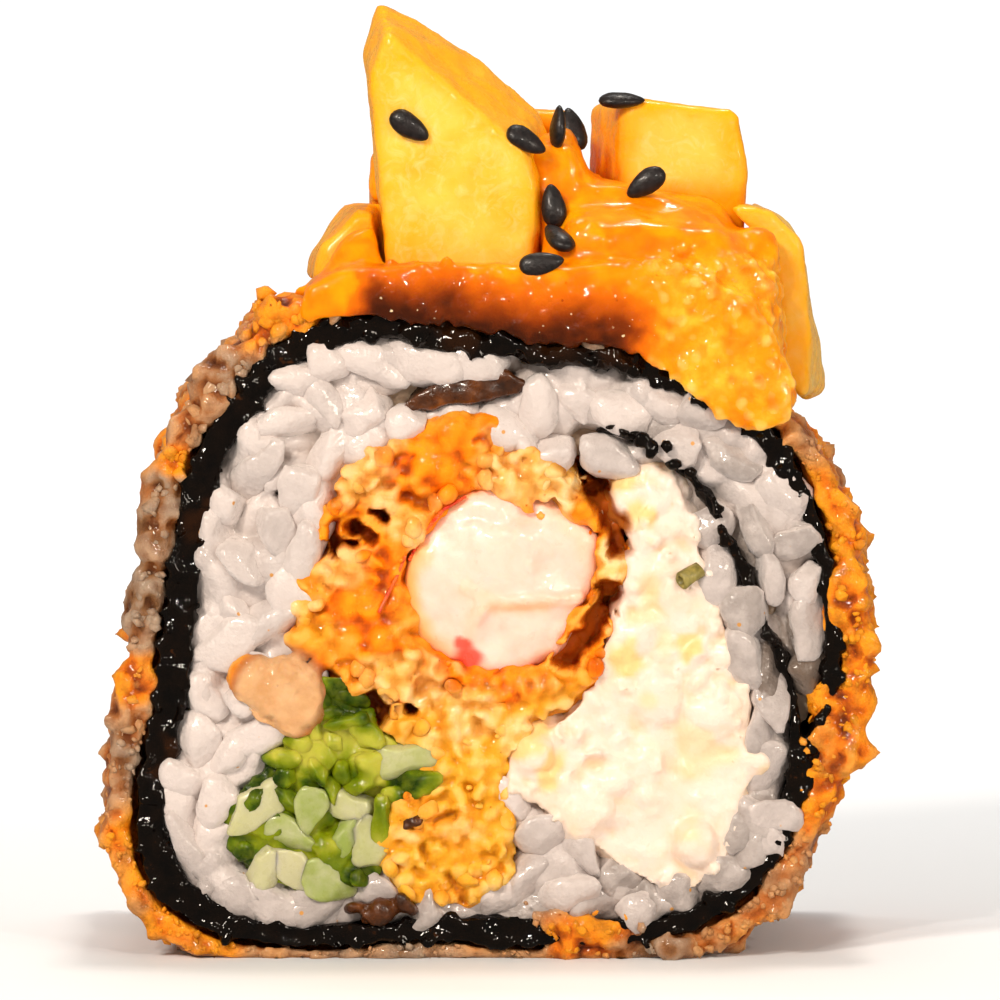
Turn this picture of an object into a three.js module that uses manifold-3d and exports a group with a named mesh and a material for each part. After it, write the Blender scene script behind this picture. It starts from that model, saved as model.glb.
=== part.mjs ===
// A slice of a breaded and fried sushi roll: a crumb coat and a nori sheet wound round rice, a shrimp in
// tempura batter, cream cheese and spring onion, with chunks of mango in a thick fruit glaze on top.
//
// Millimetres, +Z up. The roll's axis lies along Y: its cut faces look along -Y (front) and +Y (back), and
// every layer and filling runs from one to the other. The slice stands on the flattened underside of its
// crumb coat, and the origin is at the middle of that base. Outlines are given in the plane of the cut
// faces, as [across, up], and go round anticlockwise.
import * as THREE from "three";
import { ConvexGeometry } from "three/addons/geometries/ConvexGeometry.js";
import { mergeVertices } from "three/addons/utils/BufferGeometryUtils.js";
import Module from "manifold-3d";

const wasm = await Module();
wasm.setup();

// ---- Driving sizes ----

const SLICE = 26; // between the two cut faces
const GAP = 0.3; // left between neighbouring pieces
const REACH = 2; // how far a cutting tool runs past what it cuts
const HALF = SLICE / 2;
const BEYOND = { front: -HALF - REACH, back: HALF + REACH };

const COAT_THIN = 1.2; // crumb coat on the top and the underside
const COAT_FLANK = 0.6; // more of it on the flanks
const COAT_UNDER = 0.5; // and on the underside, where what hangs below the base is pressed flat
const COAT_CRUMB = 0.6; // height of the crumbs that stand out from it
const COAT_DIP = 0.35; // and depth of the dips between them

const NORI_THIN = 1.0; // the soaked sheet, with its wrinkles
const NORI_LEFT = 1.2; // more where it is creased, on the left
const NORI_UNDER = 0.6; // on the underside
const NORI_TOP = 0.5; // and on top
const COAT_SUNK = 0.3; // the coat's edge lies this far behind the cut edge of the nori
const TAIL_THICK = 0.8; // the sheet's inner end, where it is single

const GRAIN = { length: 6.2, width: 3.3, thick: 2.7 }; // a grain of cooked rice
const GRAIN_STEP = 4.9; // from one grain on a cut face to the next
const GRAIN_ROW = 3.92; // and from one row of them to the next
const GRAIN_ROWS = 11;
const GRAIN_COLUMNS = 13;
const GRAIN_SUNK = 0.75; // its middle lies this far behind the cut face
const GRAIN_ROOM = { nori: 2.1, filling: 0.9 }; // and at least this far from its neighbours
const BATTER_CRUMB = 0.55;
const CHEESE_LUMP = 0.35;
const ONION_LUMP = 0.4;

// The outer face of the nori sheet, which gives the roll its shape: flat below, leaning in on the left.
const NORI_OUTLINE = [
  [-17.0, 1.2], [-2.0, 1.2], [12.0, 1.2], [18.3, 4.6], [21.3, 10.6], [23.6, 17.4],
  [23.5, 25.4], [21.5, 32.2], [17.6, 37.0], [10.5, 40.6], [3.0, 41.9], [-5.5, 43.1],
  [-12.4, 42.2], [-17.1, 37.8], [-19.8, 32.2], [-21.2, 24.8], [-22.0, 17.6], [-23.4, 10.4], [-22.0, 4.6],
];

// The sheet's inner end, from its tip among the rice down to where it meets the outer turn.
const TAIL_LINE = [
  [7.6, 35.7], [11.4, 34.6], [14.5, 31.6], [17.1, 26.8], [18.9, 22.3], [20.7, 18.0], [20.7, 12.6],
  [19.3, 8.2],
];

const SHRIMP_OUTLINE = [
  [-5.2, 25.2], [-4.7, 21.8], [-1.6, 19.9], [1.2, 19.1], [4.8, 20.5], [6.7, 23.7], [7.7, 27.0], [6.5, 29.9],
  [2.2, 31.5], [-1.4, 31.1], [-4.1, 28.6],
];

// The batter is a ring of crumbs round the shrimp and a lobe of them that runs down to the nori.
const BATTER_RING = [
  [-12.2, 24.0], [-10.3, 19.6], [-6.8, 15.6], [-2.4, 14.0], [2.4, 15.9], [6.4, 18.2], [8.7, 22.8],
  [9.0, 28.2], [6.4, 32.4], [2.2, 33.4], [-1.4, 35.6], [-6.0, 35.0], [-9.6, 31.2],
];
const BATTER_LOBE = [
  [-5.4, 16.6], [-4.0, 12.4], [-7.0, 8.6], [-5.6, 4.6], [-1.8, 3.7], [1.8, 5.8], [1.2, 11.2], [0.6, 16.8],
];

const CHEESE_OUTLINE = [
  [1.2, 12.0], [4.3, 10.2], [8.2, 6.8], [12.0, 4.8], [15.0, 5.2], [17.6, 11.0], [17.8, 17.0], [15.9, 22.5],
  [14.6, 27.5], [12.9, 32.0], [10.2, 33.6], [9.6, 29.0], [9.0, 23.2], [7.0, 17.6],
];

const ONION_OUTLINE = [
  [-17.4, 9.4], [-15.4, 5.6], [-11.0, 4.6], [-7.0, 5.4], [-4.2, 9.6], [-3.0, 13.6], [-6.8, 16.2],
  [-9.6, 19.6], [-11.8, 17.6], [-13.4, 14.0],
];

const ONION_RINGS = [[-14.6, 9.2], [-11.2, 13.6], [-7.4, 12.8], [-10.0, 7.6]]; // cut ends of stalks
const ONION_RING = { wide: 1.5, high: 1.3, out: 0.5 };

// A fold of nori among the rice, under the top of the roll.
const NORI_FOLD = [
  [-6.3, 36.4], [-4.4, 36.6], [-1.8, 37.2], [0.6, 37.4], [3.1, 38.2], [1.0, 39.5], [-1.6, 39.1],
  [-3.9, 38.2],
];

// Hollows left in the filling: one beside the shrimp, and one under the fold of nori.
const SIDE_HOLLOW = {
  outline: [[5.6, 19.2], [8.6, 21.2], [9.8, 26.6], [8.6, 31.8], [6.0, 34.6], [5.2, 32.2], [6.6, 26.0]],
  depth: 12,
};
const TOP_HOLLOW = {
  outline: [[-2.6, 36.2], [-0.6, 35.5], [1.6, 36.2], [1.8, 38.0], [-0.6, 37.9]],
  depth: 8,
};

// The folds where the curled shrimp meets itself, which show on its cut faces.
const SHRIMP_FOLDS = [
  [[-1.3, 25.0], [0.2, 24.2], [3.2, 23.9], [6.2, 24.2]],
  [[0.5, 24.1], [-0.7, 22.8], [-0.9, 20.4]],
];
const FOLD = { width: 0.5, depth: 0.9 };
const SHRIMP_SUNK = 0.6; // its ends lie this far behind the cut faces

// Mango chunks, as a knife has cut them. A front and a back face each have their place along the roll and then
// their corners. Blunt is how far the edges and corners are rounded off.
const MANGO = {
  mango_wedge: {
    blunt: 0.25,
    front: [-10.3, [-5.9, 42.0], [2.8, 42.0], [3.4, 51.6], [2.6, 54.0], [-6.3, 61.6], [-7.4, 59.0]],
    back: [
      -2.6, [-5.6, 42.0], [4.2, 42.0], [4.5, 54.0], [3.5, 56.5], [0.0, 59.6], [-3.9, 62.2], [-7.0, 63.7],
      [-7.9, 60.6],
    ],
  },
  mango_cube: {
    blunt: 0.5,
    front: [-1.8, [9.3, 43.0], [17.2, 43.0], [17.5, 52.6], [16.9, 56.2], [9.9, 56.9]],
    back: [7.8, [7.9, 43.0], [16.6, 43.0], [17.3, 54.8], [7.8, 56.4]],
  },
  mango_slice: {
    blunt: 0.7,
    front: [-11.2, [6.2, 40.0], [18.0, 37.0], [18.8, 41.6], [18.4, 45.2], [15.2, 47.8], [6.6, 48.6]],
    back: [-3.2, [6.2, 40.0], [18.0, 37.0], [18.9, 42.0], [18.2, 46.6], [15.4, 49.4], [6.6, 51.0]],
  },
  mango_side: {
    blunt: 0.35,
    front: [-5.8, [18.4, 36.6], [21.6, 37.6], [21.9, 41.8], [21.2, 47.8], [19.5, 49.6], [17.0, 50.0]],
    back: [2.6, [19.0, 36.8], [23.2, 37.4], [22.0, 43.8], [20.8, 48.6], [18.6, 49.8]],
  },
  mango_left: {
    blunt: 0.5,
    front: [-8.2, [-11.6, 42.6], [-6.4, 42.6], [-6.4, 49.4], [-8.4, 49.6], [-10.4, 47.6]],
    back: [3.0, [-11.9, 42.6], [-6.4, 42.6], [-6.4, 49.6], [-9.6, 49.6], [-11.4, 46.8]],
  },
  mango_back: {
    blunt: 0.6,
    front: [0.8, [-7.3, 42.0], [5.6, 42.0], [5.9, 56.0], [-0.4, 56.2], [-7.1, 53.6]],
    back: [8.8, [-7.0, 42.0], [5.8, 42.0], [5.2, 55.4], [-0.4, 55.8], [-7.3, 52.4]],
  },
};
const CHUNK_LIFT = 1.4; // the chunks sit in the glaze, this far above the crumb coat

// The glaze lies over the top of the roll and runs a little way down the front cut face.
const GLAZE_OUTLINE = [
  [-12.4, 42.8], [-8.0, 43.2], [-4.4, 42.7], [0.0, 41.9], [5.6, 41.5], [9.8, 40.8], [12.2, 39.4],
  [15.4, 37.4], [18.6, 35.2], [20.4, 36.4], [19.4, 41.2], [16.2, 45.2], [10.0, 46.6], [3.0, 46.4],
  [-5.0, 46.6], [-11.4, 45.6],
];
const GLAZE_FRONT = -14.3;
const GLAZE_BACK = 10.5;
const GLAZE_SAG = 2.6; // how much lower it lies at its back edge
const GLAZE_LUMP = 0.25;

// A heap of it fills the room between the chunks, highest between the wedge and the cube.
const HEAP_OUTLINE = [
  [-10.8, 42.4], [0.0, 41.4], [12.0, 40.0], [18.4, 38.0], [20.0, 41.6], [20.4, 44.6], [18.6, 47.8],
  [14.6, 50.2], [9.6, 51.8], [7.2, 55.0], [5.4, 55.8], [3.4, 54.4], [0.0, 50.4], [-6.8, 49.6], [-9.8, 47.6],
];
const HEAP_FRONT = -12.2;
const HEAP_BACK = 7.4;
const HEAP_LEAN = { from: 45, slope: 0.6 }; // above this height its front leans back

const COLOURS = {
  crumb_coat: 0xc67626, nori_sheet: 0x140d0b, nori_fold: 0x5a2208, rice: 0xeadccd, shrimp: 0xfde0c8,
  tempura_batter: 0xf2931c, cream_cheese: 0xfbeeda, spring_onion: 0x9cae2c, mango: 0xfbc63a,
  fruit_glaze: 0xe87c08,
};

// ---- Outlines ----

// A smooth closed outline through a few key points, as evenly spaced points.
function smooth(keyPoints, count) {
  const points = keyPoints.map(([across, up]) => new THREE.Vector3(across, up, 0));
  const curve = new THREE.CatmullRomCurve3(points, true);
  return curve.getSpacedPoints(count).slice(0, count).map((p) => new THREE.Vector2(p.x, p.y));
}

// The outward direction at each point of an anticlockwise outline.
function outward(outline) {
  return outline.map((_, i) => {
    const before = outline.at(i - 1);
    const after = outline[(i + 1) % outline.length];
    return new THREE.Vector2(after.y - before.y, before.x - after.x).normalize();
  });
}

// An outline moved outwards by a distance that may depend on its direction.
function offset(outline, distance) {
  return outward(outline).map((n, i) => outline[i].clone().addScaledVector(n, distance(n)));
}

// A band of the given thickness along an open line, as a closed outline.
function band(linePoints, thick, count) {
  const line = new THREE.SplineCurve(linePoints.map(([across, up]) => new THREE.Vector2(across, up)));
  const left = [];
  const right = [];
  for (let i = 0; i <= count; i++) {
    const point = line.getPointAt(i / count);
    const along = line.getTangentAt(i / count);
    const side = new THREE.Vector2(-along.y, along.x).multiplyScalar(thick / 2);
    left.push(point.clone().add(side));
    right.push(point.clone().sub(side));
  }
  return right.concat(left.reverse());
}

function contains(outline, x, z) {
  return outline.reduce((inside, a, i) => {
    const b = outline[(i + 1) % outline.length];
    const crosses = a.y > z !== b.y > z && x < ((b.x - a.x) * (z - a.y)) / (b.y - a.y) + a.x;
    return crosses ? !inside : inside;
  }, false);
}

// ---- Surfaces ----

// Smooth lumps round an outline and along the slice, of the given height. Waves counts them round the outline.
function lumps(height, waves, along, phase = 0) {
  return (share, y) => {
    const sum = waves.reduce((total, wave, i) => {
      const turn = 2 * Math.PI * wave * share;
      return total + Math.sin(turn + phase + 1.7 * i) * Math.cos(along * (1 + 0.37 * i) * y + i);
    }, 0);
    return (height * sum) / Math.sqrt(waves.length);
  };
}
const flat = () => 0;

function solid(geometry) {
  const bare = geometry.clone();
  bare.deleteAttribute("normal");
  bare.deleteAttribute("uv");
  const merged = mergeVertices(bare, 1e-4);
  return new wasm.Manifold(
    new wasm.Mesh({
      numProp: 3,
      vertProperties: merged.attributes.position.array,
      triVerts: new Uint32Array(merged.index.array),
    }),
  );
}

// An outline in the plane of the cut faces, drawn from y = front to y = back. Its ends can be rounded.
function drawn(outline, front, back, steps = 1, round = 0) {
  const geometry = new THREE.ExtrudeGeometry(new THREE.Shape(outline), {
    depth: back - front - 2 * round,
    steps,
    bevelEnabled: round > 0,
    bevelThickness: round,
    bevelSize: round,
    bevelOffset: -round,
    bevelSegments: 2,
  });
  geometry.rotateX(Math.PI / 2);
  geometry.computeBoundingBox();
  return geometry.translate(0, front - geometry.boundingBox.min.y, 0);
}

// Moves the surface of a drawn outline out by grow and by its relief, and flattens on the base what would
// come out under it.
function moved(geometry, outline, grow, relief) {
  const directions = outward(outline);
  const position = geometry.attributes.position;
  for (let i = 0; i < position.count; i++) {
    const point = new THREE.Vector2(position.getX(i), position.getZ(i));
    const distances = outline.map((p) => p.distanceToSquared(point));
    const nearest = distances.indexOf(Math.min(...distances));
    const out = grow + relief(nearest / outline.length, position.getY(i));
    point.addScaledVector(directions[nearest], out);
    position.setXYZ(i, point.x, position.getY(i), Math.max(point.y, 0));
  }
  return geometry;
}

function slab(front, back) {
  const wide = 8 * SLICE;
  return solid(new THREE.BoxGeometry(wide, back - front, wide).translate(0, (front + back) / 2, 0));
}

// A layer or a filling, or the tool that clears room for it: an outline drawn through the slice and cut off
// at the front and the back. Steps is how many times its relief changes between the cut faces.
function through(outline, { front = -HALF, back = HALF, steps = 1, grow = 0, relief = flat } = {}) {
  const pitch = SLICE / steps;
  const long = drawn(outline, -HALF - pitch, HALF + pitch, steps + 2);
  return solid(moved(long, outline, grow, relief)).intersect(slab(front, back));
}

// A tool for cutting a filling's neighbours: grown by the gap, and longer than the slice.
function tool(outline, options = {}) {
  return through(outline, { ...options, ...BEYOND, grow: GAP });
}

function cut(body, ...tools) {
  return tools.reduce((left, one) => left.subtract(one), body);
}

function join(...bodies) {
  return bodies.reduce((whole, one) => whole.add(one));
}

// The largest separate body, which drops slivers that a cut has left.
function main(body) {
  return body.decompose().sort((a, b) => b.volume() - a.volume())[0];
}

// ---- Crumb coat and nori ----

const NORI_STEPS = 3;
const noriLine = smooth(NORI_OUTLINE, 54);
const noriWaves = lumps(0.18, [6, 11], 0.25);
const noriThickness = (n) => {
  const extra = NORI_LEFT * Math.max(-n.x, 0) + NORI_UNDER * Math.max(-n.y, 0) + NORI_TOP * Math.max(n.y, 0);
  return NORI_THIN + extra;
};
const noriInner = offset(noriLine, (n) => -noriThickness(n));
const innerWaves = lumps(0.25, [7, 12], 0.3, 2);

const COAT_STEPS = 5;
const coatThickness = (n) => COAT_THIN + COAT_FLANK * n.x * n.x + COAT_UNDER * Math.max(-n.y, 0);
const coatLine = offset(smooth(NORI_OUTLINE, 74), coatThickness);
const coatLumps = lumps(COAT_CRUMB, [11, 19, 29], 0.8, 1);
const coatCrumbs = (share, y) => Math.max(coatLumps(share, y), -COAT_DIP);

function crumbCoat() {
  const ends = { front: COAT_SUNK - HALF, back: HALF - COAT_SUNK };
  const outer = through(coatLine, { ...ends, steps: COAT_STEPS, relief: coatCrumbs });
  return cut(outer, tool(noriLine, { steps: NORI_STEPS, relief: noriWaves }));
}

function noriSheet() {
  const outer = through(noriLine, { steps: NORI_STEPS, relief: noriWaves });
  const inside = through(noriInner, { ...BEYOND, steps: NORI_STEPS, relief: innerWaves });
  return join(cut(outer, inside), through(band(TAIL_LINE, TAIL_THICK, 14)));
}

// The room that the roll takes, for cutting the glaze that lies on it and hangs over its front.
function rollTool() {
  return join(
    through(coatLine, { steps: COAT_STEPS, relief: coatCrumbs, grow: GAP }),
    through(noriLine, { front: -HALF - GAP, back: HALF + GAP, grow: GAP }),
  );
}

// ---- Fillings ----

const shrimpLine = smooth(SHRIMP_OUTLINE, 22);
const ringLine = smooth(BATTER_RING, 30);
const lobeLine = smooth(BATTER_LOBE, 16);
const cheeseLine = smooth(CHEESE_OUTLINE, 28);
const onionLine = smooth(ONION_OUTLINE, 24);
const foldLine = smooth(NORI_FOLD, 14);

const batterCrumbs = { steps: 4, relief: lumps(BATTER_CRUMB, [6, 10], 0.9) };
const cheeseLumps = { steps: 3, relief: lumps(CHEESE_LUMP, [4, 7], 0.5, 3) };
const onionLumps = { steps: 3, relief: lumps(ONION_LUMP, [5, 8], 0.8, 4) };

const noriTail = through(band(TAIL_LINE, TAIL_THICK + 2 * GAP, 14), BEYOND);
const interior = (lift) => through(noriInner, {
  front: -HALF - lift, back: HALF + lift, steps: NORI_STEPS, relief: innerWaves, grow: -GAP,
});
const shrimpTool = tool(shrimpLine);
const batterTool = join(tool(ringLine, batterCrumbs), tool(lobeLine, batterCrumbs));
const cheeseTool = tool(cheeseLine, cheeseLumps);

function hollow({ outline, depth }) {
  return through(smooth(outline, 14), { front: -HALF - REACH, back: depth - HALF });
}
const hollows = join(hollow(SIDE_HOLLOW), hollow(TOP_HOLLOW));

function shrimp() {
  const end = HALF - SHRIMP_SUNK;
  const body = solid(drawn(shrimpLine, -end, end, 1, 0.8));
  const grooves = SHRIMP_FOLDS.flatMap((line) => {
    const groove = band(line, FOLD.width, 4);
    return [
      through(groove, { front: -HALF, back: FOLD.depth - end }),
      through(groove, { front: end - FOLD.depth, back: HALF }),
    ];
  });
  return cut(body, ...grooves);
}

function tempuraBatter() {
  const ring = through(ringLine, batterCrumbs);
  const lobe = through(lobeLine, batterCrumbs);
  return main(cut(join(ring, lobe).intersect(interior(1)), shrimpTool, hollow(SIDE_HOLLOW)));
}

function creamCheese() {
  const body = through(cheeseLine, cheeseLumps);
  return main(cut(body.intersect(interior(1)), batterTool, noriTail, hollow(SIDE_HOLLOW)));
}

// Chopped spring onion in a bundle: its body, with the ends of cut rings standing out at both faces.
function springOnion() {
  const body = through(onionLine, onionLumps);
  const rings = [];
  for (const [across, up] of ONION_RINGS) {
    const { wide, high, out } = ONION_RING;
    const corners = [[across + wide, up], [across, up + high], [across - wide, up], [across, up - high]];
    rings.push(through(smooth(corners, 8), { front: -HALF - out, back: HALF + out }));
  }
  return main(cut(join(body, ...rings).intersect(interior(1)), batterTool, cheeseTool));
}

function noriFold() {
  return through(foldLine);
}

// ---- Rice ----

// A grain of rice lying at a cut face: an ellipsoid at a place in that face, turned in it and tipped.
function grain(x, y, z, turn, tip) {
  const geometry = new THREE.SphereGeometry(1, 6, 4);
  geometry.scale(GRAIN.width / 2, GRAIN.length / 2, GRAIN.thick / 2);
  geometry.rotateX(Math.PI / 2 + tip);
  geometry.rotateY(turn);
  geometry.translate(x, y, z);
  return solid(geometry);
}

// Grains over a cut face, on staggered rows, wherever the rice is clear of the fillings.
function riceGrains(face) {
  const room = offset(noriInner, () => -GRAIN_ROOM.nori);
  const fillings = [ringLine, lobeLine, cheeseLine, onionLine];
  const filled = fillings.map((line) => offset(line, () => GRAIN_ROOM.filling));
  const grains = [];
  let count = 0;
  for (let row = 0; row <= GRAIN_ROWS; row++) {
    for (let place = 0; place < GRAIN_COLUMNS; place++) {
      const column = place - (GRAIN_COLUMNS - 1) / 2;
      const x = (column + (row % 2) / 2) * GRAIN_STEP + 0.7 * Math.sin(5.1 * row + 2.3 * column);
      const z = 3 + row * GRAIN_ROW + 0.6 * Math.cos(3.7 * row - 1.9 * column);
      if (!contains(room, x, z) || filled.some((line) => contains(line, x, z))) continue;
      count += 1;
      const turn = 2.4 * count;
      const tip = 0.35 * Math.sin(1.3 * count);
      const y = face * (HALF - GRAIN_SUNK + 0.25 * Math.sin(4.1 * count));
      grains.push(grain(x, y, z, turn, tip));
    }
  }
  return grains;
}

function rice() {
  const core = interior(-0.4);
  const whole = join(core, ...riceGrains(-1), ...riceGrains(1)).intersect(interior(2));
  const around = [noriTail, batterTool, cheeseTool, tool(onionLine, onionLumps), tool(foldLine), hollows];
  return main(cut(whole, ...around));
}

// ---- Mango and glaze ----

// A chunk of mango, or with grow the room it takes. Each corner is an octahedron, which blunts the edges; the
// room it takes has cubes there instead, so that it is grown by at least that much on every side.
function chunk({ blunt, front, back }, grow = 0) {
  const side = 2 * (blunt + grow);
  const tip = grow > 0 ? new THREE.BoxGeometry(side, side, side) : new THREE.OctahedronGeometry(blunt);
  const points = [front, back].flatMap(([y, ...corners]) => corners.flatMap(([across, up]) => {
    const { position } = tip.clone().translate(across, y, up).attributes;
    const corner = (_, i) => new THREE.Vector3().fromBufferAttribute(position, i);
    return Array.from({ length: position.count }, corner);
  }));
  return solid(new ConvexGeometry(points));
}

const chunks = Object.entries(MANGO);

// Each chunk is cut off below, over the roll, and keeps clear of the chunks named before it.
function mangoChunk(index) {
  const before = chunks.slice(0, index).map(([, one]) => chunk(one, GAP));
  const under = through(coatLine, { ...BEYOND, grow: CHUNK_LIFT });
  return main(cut(chunk(chunks[index][1]), under, ...before));
}

function fruitGlaze() {
  const line = smooth(GLAZE_OUTLINE, 30);
  const sheet = drawn(line, GLAZE_FRONT, GLAZE_BACK, 4, 0.5);
  const settled = solid(moved(sheet, line, 0, lumps(GLAZE_LUMP, [4, 7], 0.5))).warp((point) => {
    const share = (point[1] - GLAZE_FRONT) / (GLAZE_BACK - GLAZE_FRONT);
    point[2] -= GLAZE_SAG * share * share;
  });
  const heap = solid(drawn(smooth(HEAP_OUTLINE, 26), HEAP_FRONT, HEAP_BACK, 3, 0.8)).warp((point) => {
    const behind = (HEAP_BACK - point[1]) / (HEAP_BACK - HEAP_FRONT);
    point[1] += HEAP_LEAN.slope * Math.max(point[2] - HEAP_LEAN.from, 0) * behind;
  });
  return main(cut(join(settled, heap), rollTool(), ...chunks.map(([, one]) => chunk(one, GAP))));
}

// ---- The whole ----

function piece(name, body, colour, roughness) {
  const { numProp, vertProperties, triVerts } = body.getMesh();
  const geometry = new THREE.BufferGeometry();
  const array = new Float32Array((vertProperties.length / numProp) * 3);
  for (let i = 0; i < array.length / 3; i++) {
    array.set(vertProperties.subarray(i * numProp, i * numProp + 3), i * 3);
  }
  geometry.setAttribute("position", new THREE.BufferAttribute(array, 3));
  geometry.setIndex(new THREE.BufferAttribute(new Uint32Array(triVerts), 1));
  geometry.computeVertexNormals();
  const material = new THREE.MeshStandardMaterial({ color: colour, roughness, metalness: 0 });
  const mesh = new THREE.Mesh(geometry, material);
  mesh.name = name;
  return mesh;
}

const slice = new THREE.Group();
slice.add(
  piece("crumb_coat", crumbCoat(), COLOURS.crumb_coat, 0.45),
  piece("nori_sheet", noriSheet(), COLOURS.nori_sheet, 0.3),
  piece("nori_fold", noriFold(), COLOURS.nori_fold, 0.35),
  piece("rice", rice(), COLOURS.rice, 0.35),
  piece("shrimp", shrimp(), COLOURS.shrimp, 0.35),
  piece("tempura_batter", tempuraBatter(), COLOURS.tempura_batter, 0.45),
  piece("cream_cheese", creamCheese(), COLOURS.cream_cheese, 0.4),
  piece("spring_onion", springOnion(), COLOURS.spring_onion, 0.3),
  piece("fruit_glaze", fruitGlaze(), COLOURS.fruit_glaze, 0.12),
  ...chunks.map(([name], index) => piece(name, mangoChunk(index), COLOURS.mango, 0.2)),
);

// The base stays at z = 0, and the slice is centred over it.
const box = new THREE.Box3().setFromObject(slice);
slice.position.set(-(box.min.x + box.max.x) / 2, -(box.min.y + box.max.y) / 2, -box.min.z);

export default slice;
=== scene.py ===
"""Looks of a slice of breaded and fried sushi roll, topped with mango in a thick fruit glaze.

The slice's axis lies along Y and its cut face looks along -Y. Everything is modelled in millimetres in the drawing's
own frame, as in the CAD, and placed() moves each piece into the row frame. Only the studio is laid out in metres.
"""

from itertools import product

import bmesh
import bpy
import numpy as np
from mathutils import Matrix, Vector
from mathutils.bvhtree import BVHTree


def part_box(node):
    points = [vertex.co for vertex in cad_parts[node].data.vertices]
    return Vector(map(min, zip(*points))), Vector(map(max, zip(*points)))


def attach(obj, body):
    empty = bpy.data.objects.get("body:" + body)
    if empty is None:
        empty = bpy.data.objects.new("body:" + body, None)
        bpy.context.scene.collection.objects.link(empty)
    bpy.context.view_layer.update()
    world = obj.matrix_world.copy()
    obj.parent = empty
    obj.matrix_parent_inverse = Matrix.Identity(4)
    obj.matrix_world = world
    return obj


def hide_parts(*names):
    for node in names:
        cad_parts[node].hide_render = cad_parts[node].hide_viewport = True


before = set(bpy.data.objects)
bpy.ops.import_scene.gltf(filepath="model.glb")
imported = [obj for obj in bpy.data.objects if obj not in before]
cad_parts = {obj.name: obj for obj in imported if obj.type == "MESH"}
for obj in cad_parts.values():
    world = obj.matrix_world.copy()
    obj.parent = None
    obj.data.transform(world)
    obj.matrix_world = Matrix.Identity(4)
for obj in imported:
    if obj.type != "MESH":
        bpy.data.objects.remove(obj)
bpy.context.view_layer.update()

MM = 0.001
FRONT, BACK = -13.0, 13.0  # the cut faces, in mm in the drawing
NORI_EDGE = -23.42  # the leftmost point of the nori there
# From the drawing's zero to the row frame's, in mm.
SHIFT = np.array(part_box("nori_sheet")[0]) / MM * (1, 1, 0) - (NORI_EDGE, FRONT, 0)
rng = np.random.default_rng(7)


# ---- Fields: smooth noise and packed bumps, worked out for many points at once ----


def lattice(cell, seed):
    """A repeatable number from 0 to 1 for each whole-numbered cell."""
    c = cell.astype(np.int64)
    h = (c[..., 0] * 73856093) ^ (c[..., 1] * 19349663) ^ (c[..., 2] * 83492791) ^ (seed * 40503)
    h = ((h ^ (h >> 15)) * 2246822519) & 0xFFFFFFFF
    h = ((h ^ (h >> 13)) * 3266489917) & 0xFFFFFFFF
    return ((h ^ (h >> 16)) & 0xFFFF) / 65535.0


def noise(p, size, seed=0, octaves=2):
    """Smooth noise from about -1 to 1, with features of the given size in mm."""
    total, weight, sum_weight = np.zeros(len(p)), 1.0, 0.0
    for octave in range(octaves):
        q = p * (2**octave / size) + 31.7 * (octave + 1)
        base = np.floor(q)
        f = q - base
        f = f * f * (3 - 2 * f)
        value = np.zeros(len(p))
        for corner in product((0, 1), repeat=3):
            share = np.prod(np.where(np.array(corner) == 1, f, 1 - f), axis=1)
            value += share * lattice(base + corner, seed + 11 * octave)
        total += weight * (2 * value - 1)
        sum_weight += weight
        weight *= 0.55
    return 1.7 * total / sum_weight


def bumps(p, size, seed=0):
    """Rounded bumps packed side by side: 1 on each top, falling to a crease between them."""
    q = p / size
    base = np.floor(q)
    nearest = np.full(len(p), 9.0)
    for step in product((-1, 0, 1), repeat=3):
        cell = base + step
        middle = cell + np.stack([lattice(cell, seed + k) for k in (1, 2, 3)], axis=1)
        nearest = np.minimum(nearest, ((q - middle) ** 2).sum(1))
    return np.sqrt(np.clip(1 - nearest, 0, 1))


def between(x, low, high):
    """Smooth step from 0 at low to 1 at high."""
    t = np.clip((x - low) / (high - low), 0, 1)
    return t * t * (3 - 2 * t)


# ---- Meshes ----


def added(name, data):
    """A new object in the scene."""
    obj = bpy.data.objects.new(name, data)
    bpy.context.scene.collection.objects.link(obj)
    return obj


def mesh_of(name, verts, faces):
    """A new object from corners in mm and faces that all have the same number of corners."""
    mesh = bpy.data.meshes.new(name)
    sides = faces.shape[1]
    mesh.vertices.add(len(verts))
    mesh.vertices.foreach_set("co", np.asarray(verts * MM, np.float32).ravel())
    mesh.loops.add(faces.size)
    mesh.loops.foreach_set("vertex_index", faces.astype(np.int32).ravel())
    mesh.polygons.add(len(faces))
    mesh.polygons.foreach_set("loop_start", np.arange(0, faces.size, sides, dtype=np.int32))
    mesh.update(calc_edges=True)
    mesh.validate()
    mesh.shade_smooth()
    return added(name, mesh)


def read(items, name, width, kind=np.float32):
    """One property of a mesh's items, as an array with a row for each of them."""
    values = np.empty(len(items) * width, kind)
    items.foreach_get(name, values)
    return values.reshape(-1, width)


def points_of(obj):
    """A piece's vertices in mm."""
    return read(obj.data.vertices, "co", 3).astype(float) / MM


def normals_of(obj):
    """The unit normals at a piece's vertices."""
    return read(obj.data.vertex_normals, "vector", 3).astype(float)


def set_points(obj, points):
    """Moves a piece's vertices to points in mm."""
    obj.data.vertices.foreach_set("co", np.asarray(points * MM, np.float32).ravel())
    obj.data.update()


def triangles_of(obj):
    """A piece's faces as triangles of vertex numbers."""
    obj.data.calc_loop_triangles()
    return read(obj.data.loop_triangles, "vertices", 3, np.int32)


def sphere(level):
    """A unit sphere of triangles: its corners and its faces."""
    bm = bmesh.new()
    bmesh.ops.create_icosphere(bm, subdivisions=level, radius=1.0)
    verts = np.array([v.co for v in bm.verts])
    faces = np.array([[v.index for v in f.verts] for f in bm.faces])
    bm.free()
    return verts, faces


BALL = {level: sphere(level) for level in (1, 2, 3, 4)}


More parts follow.
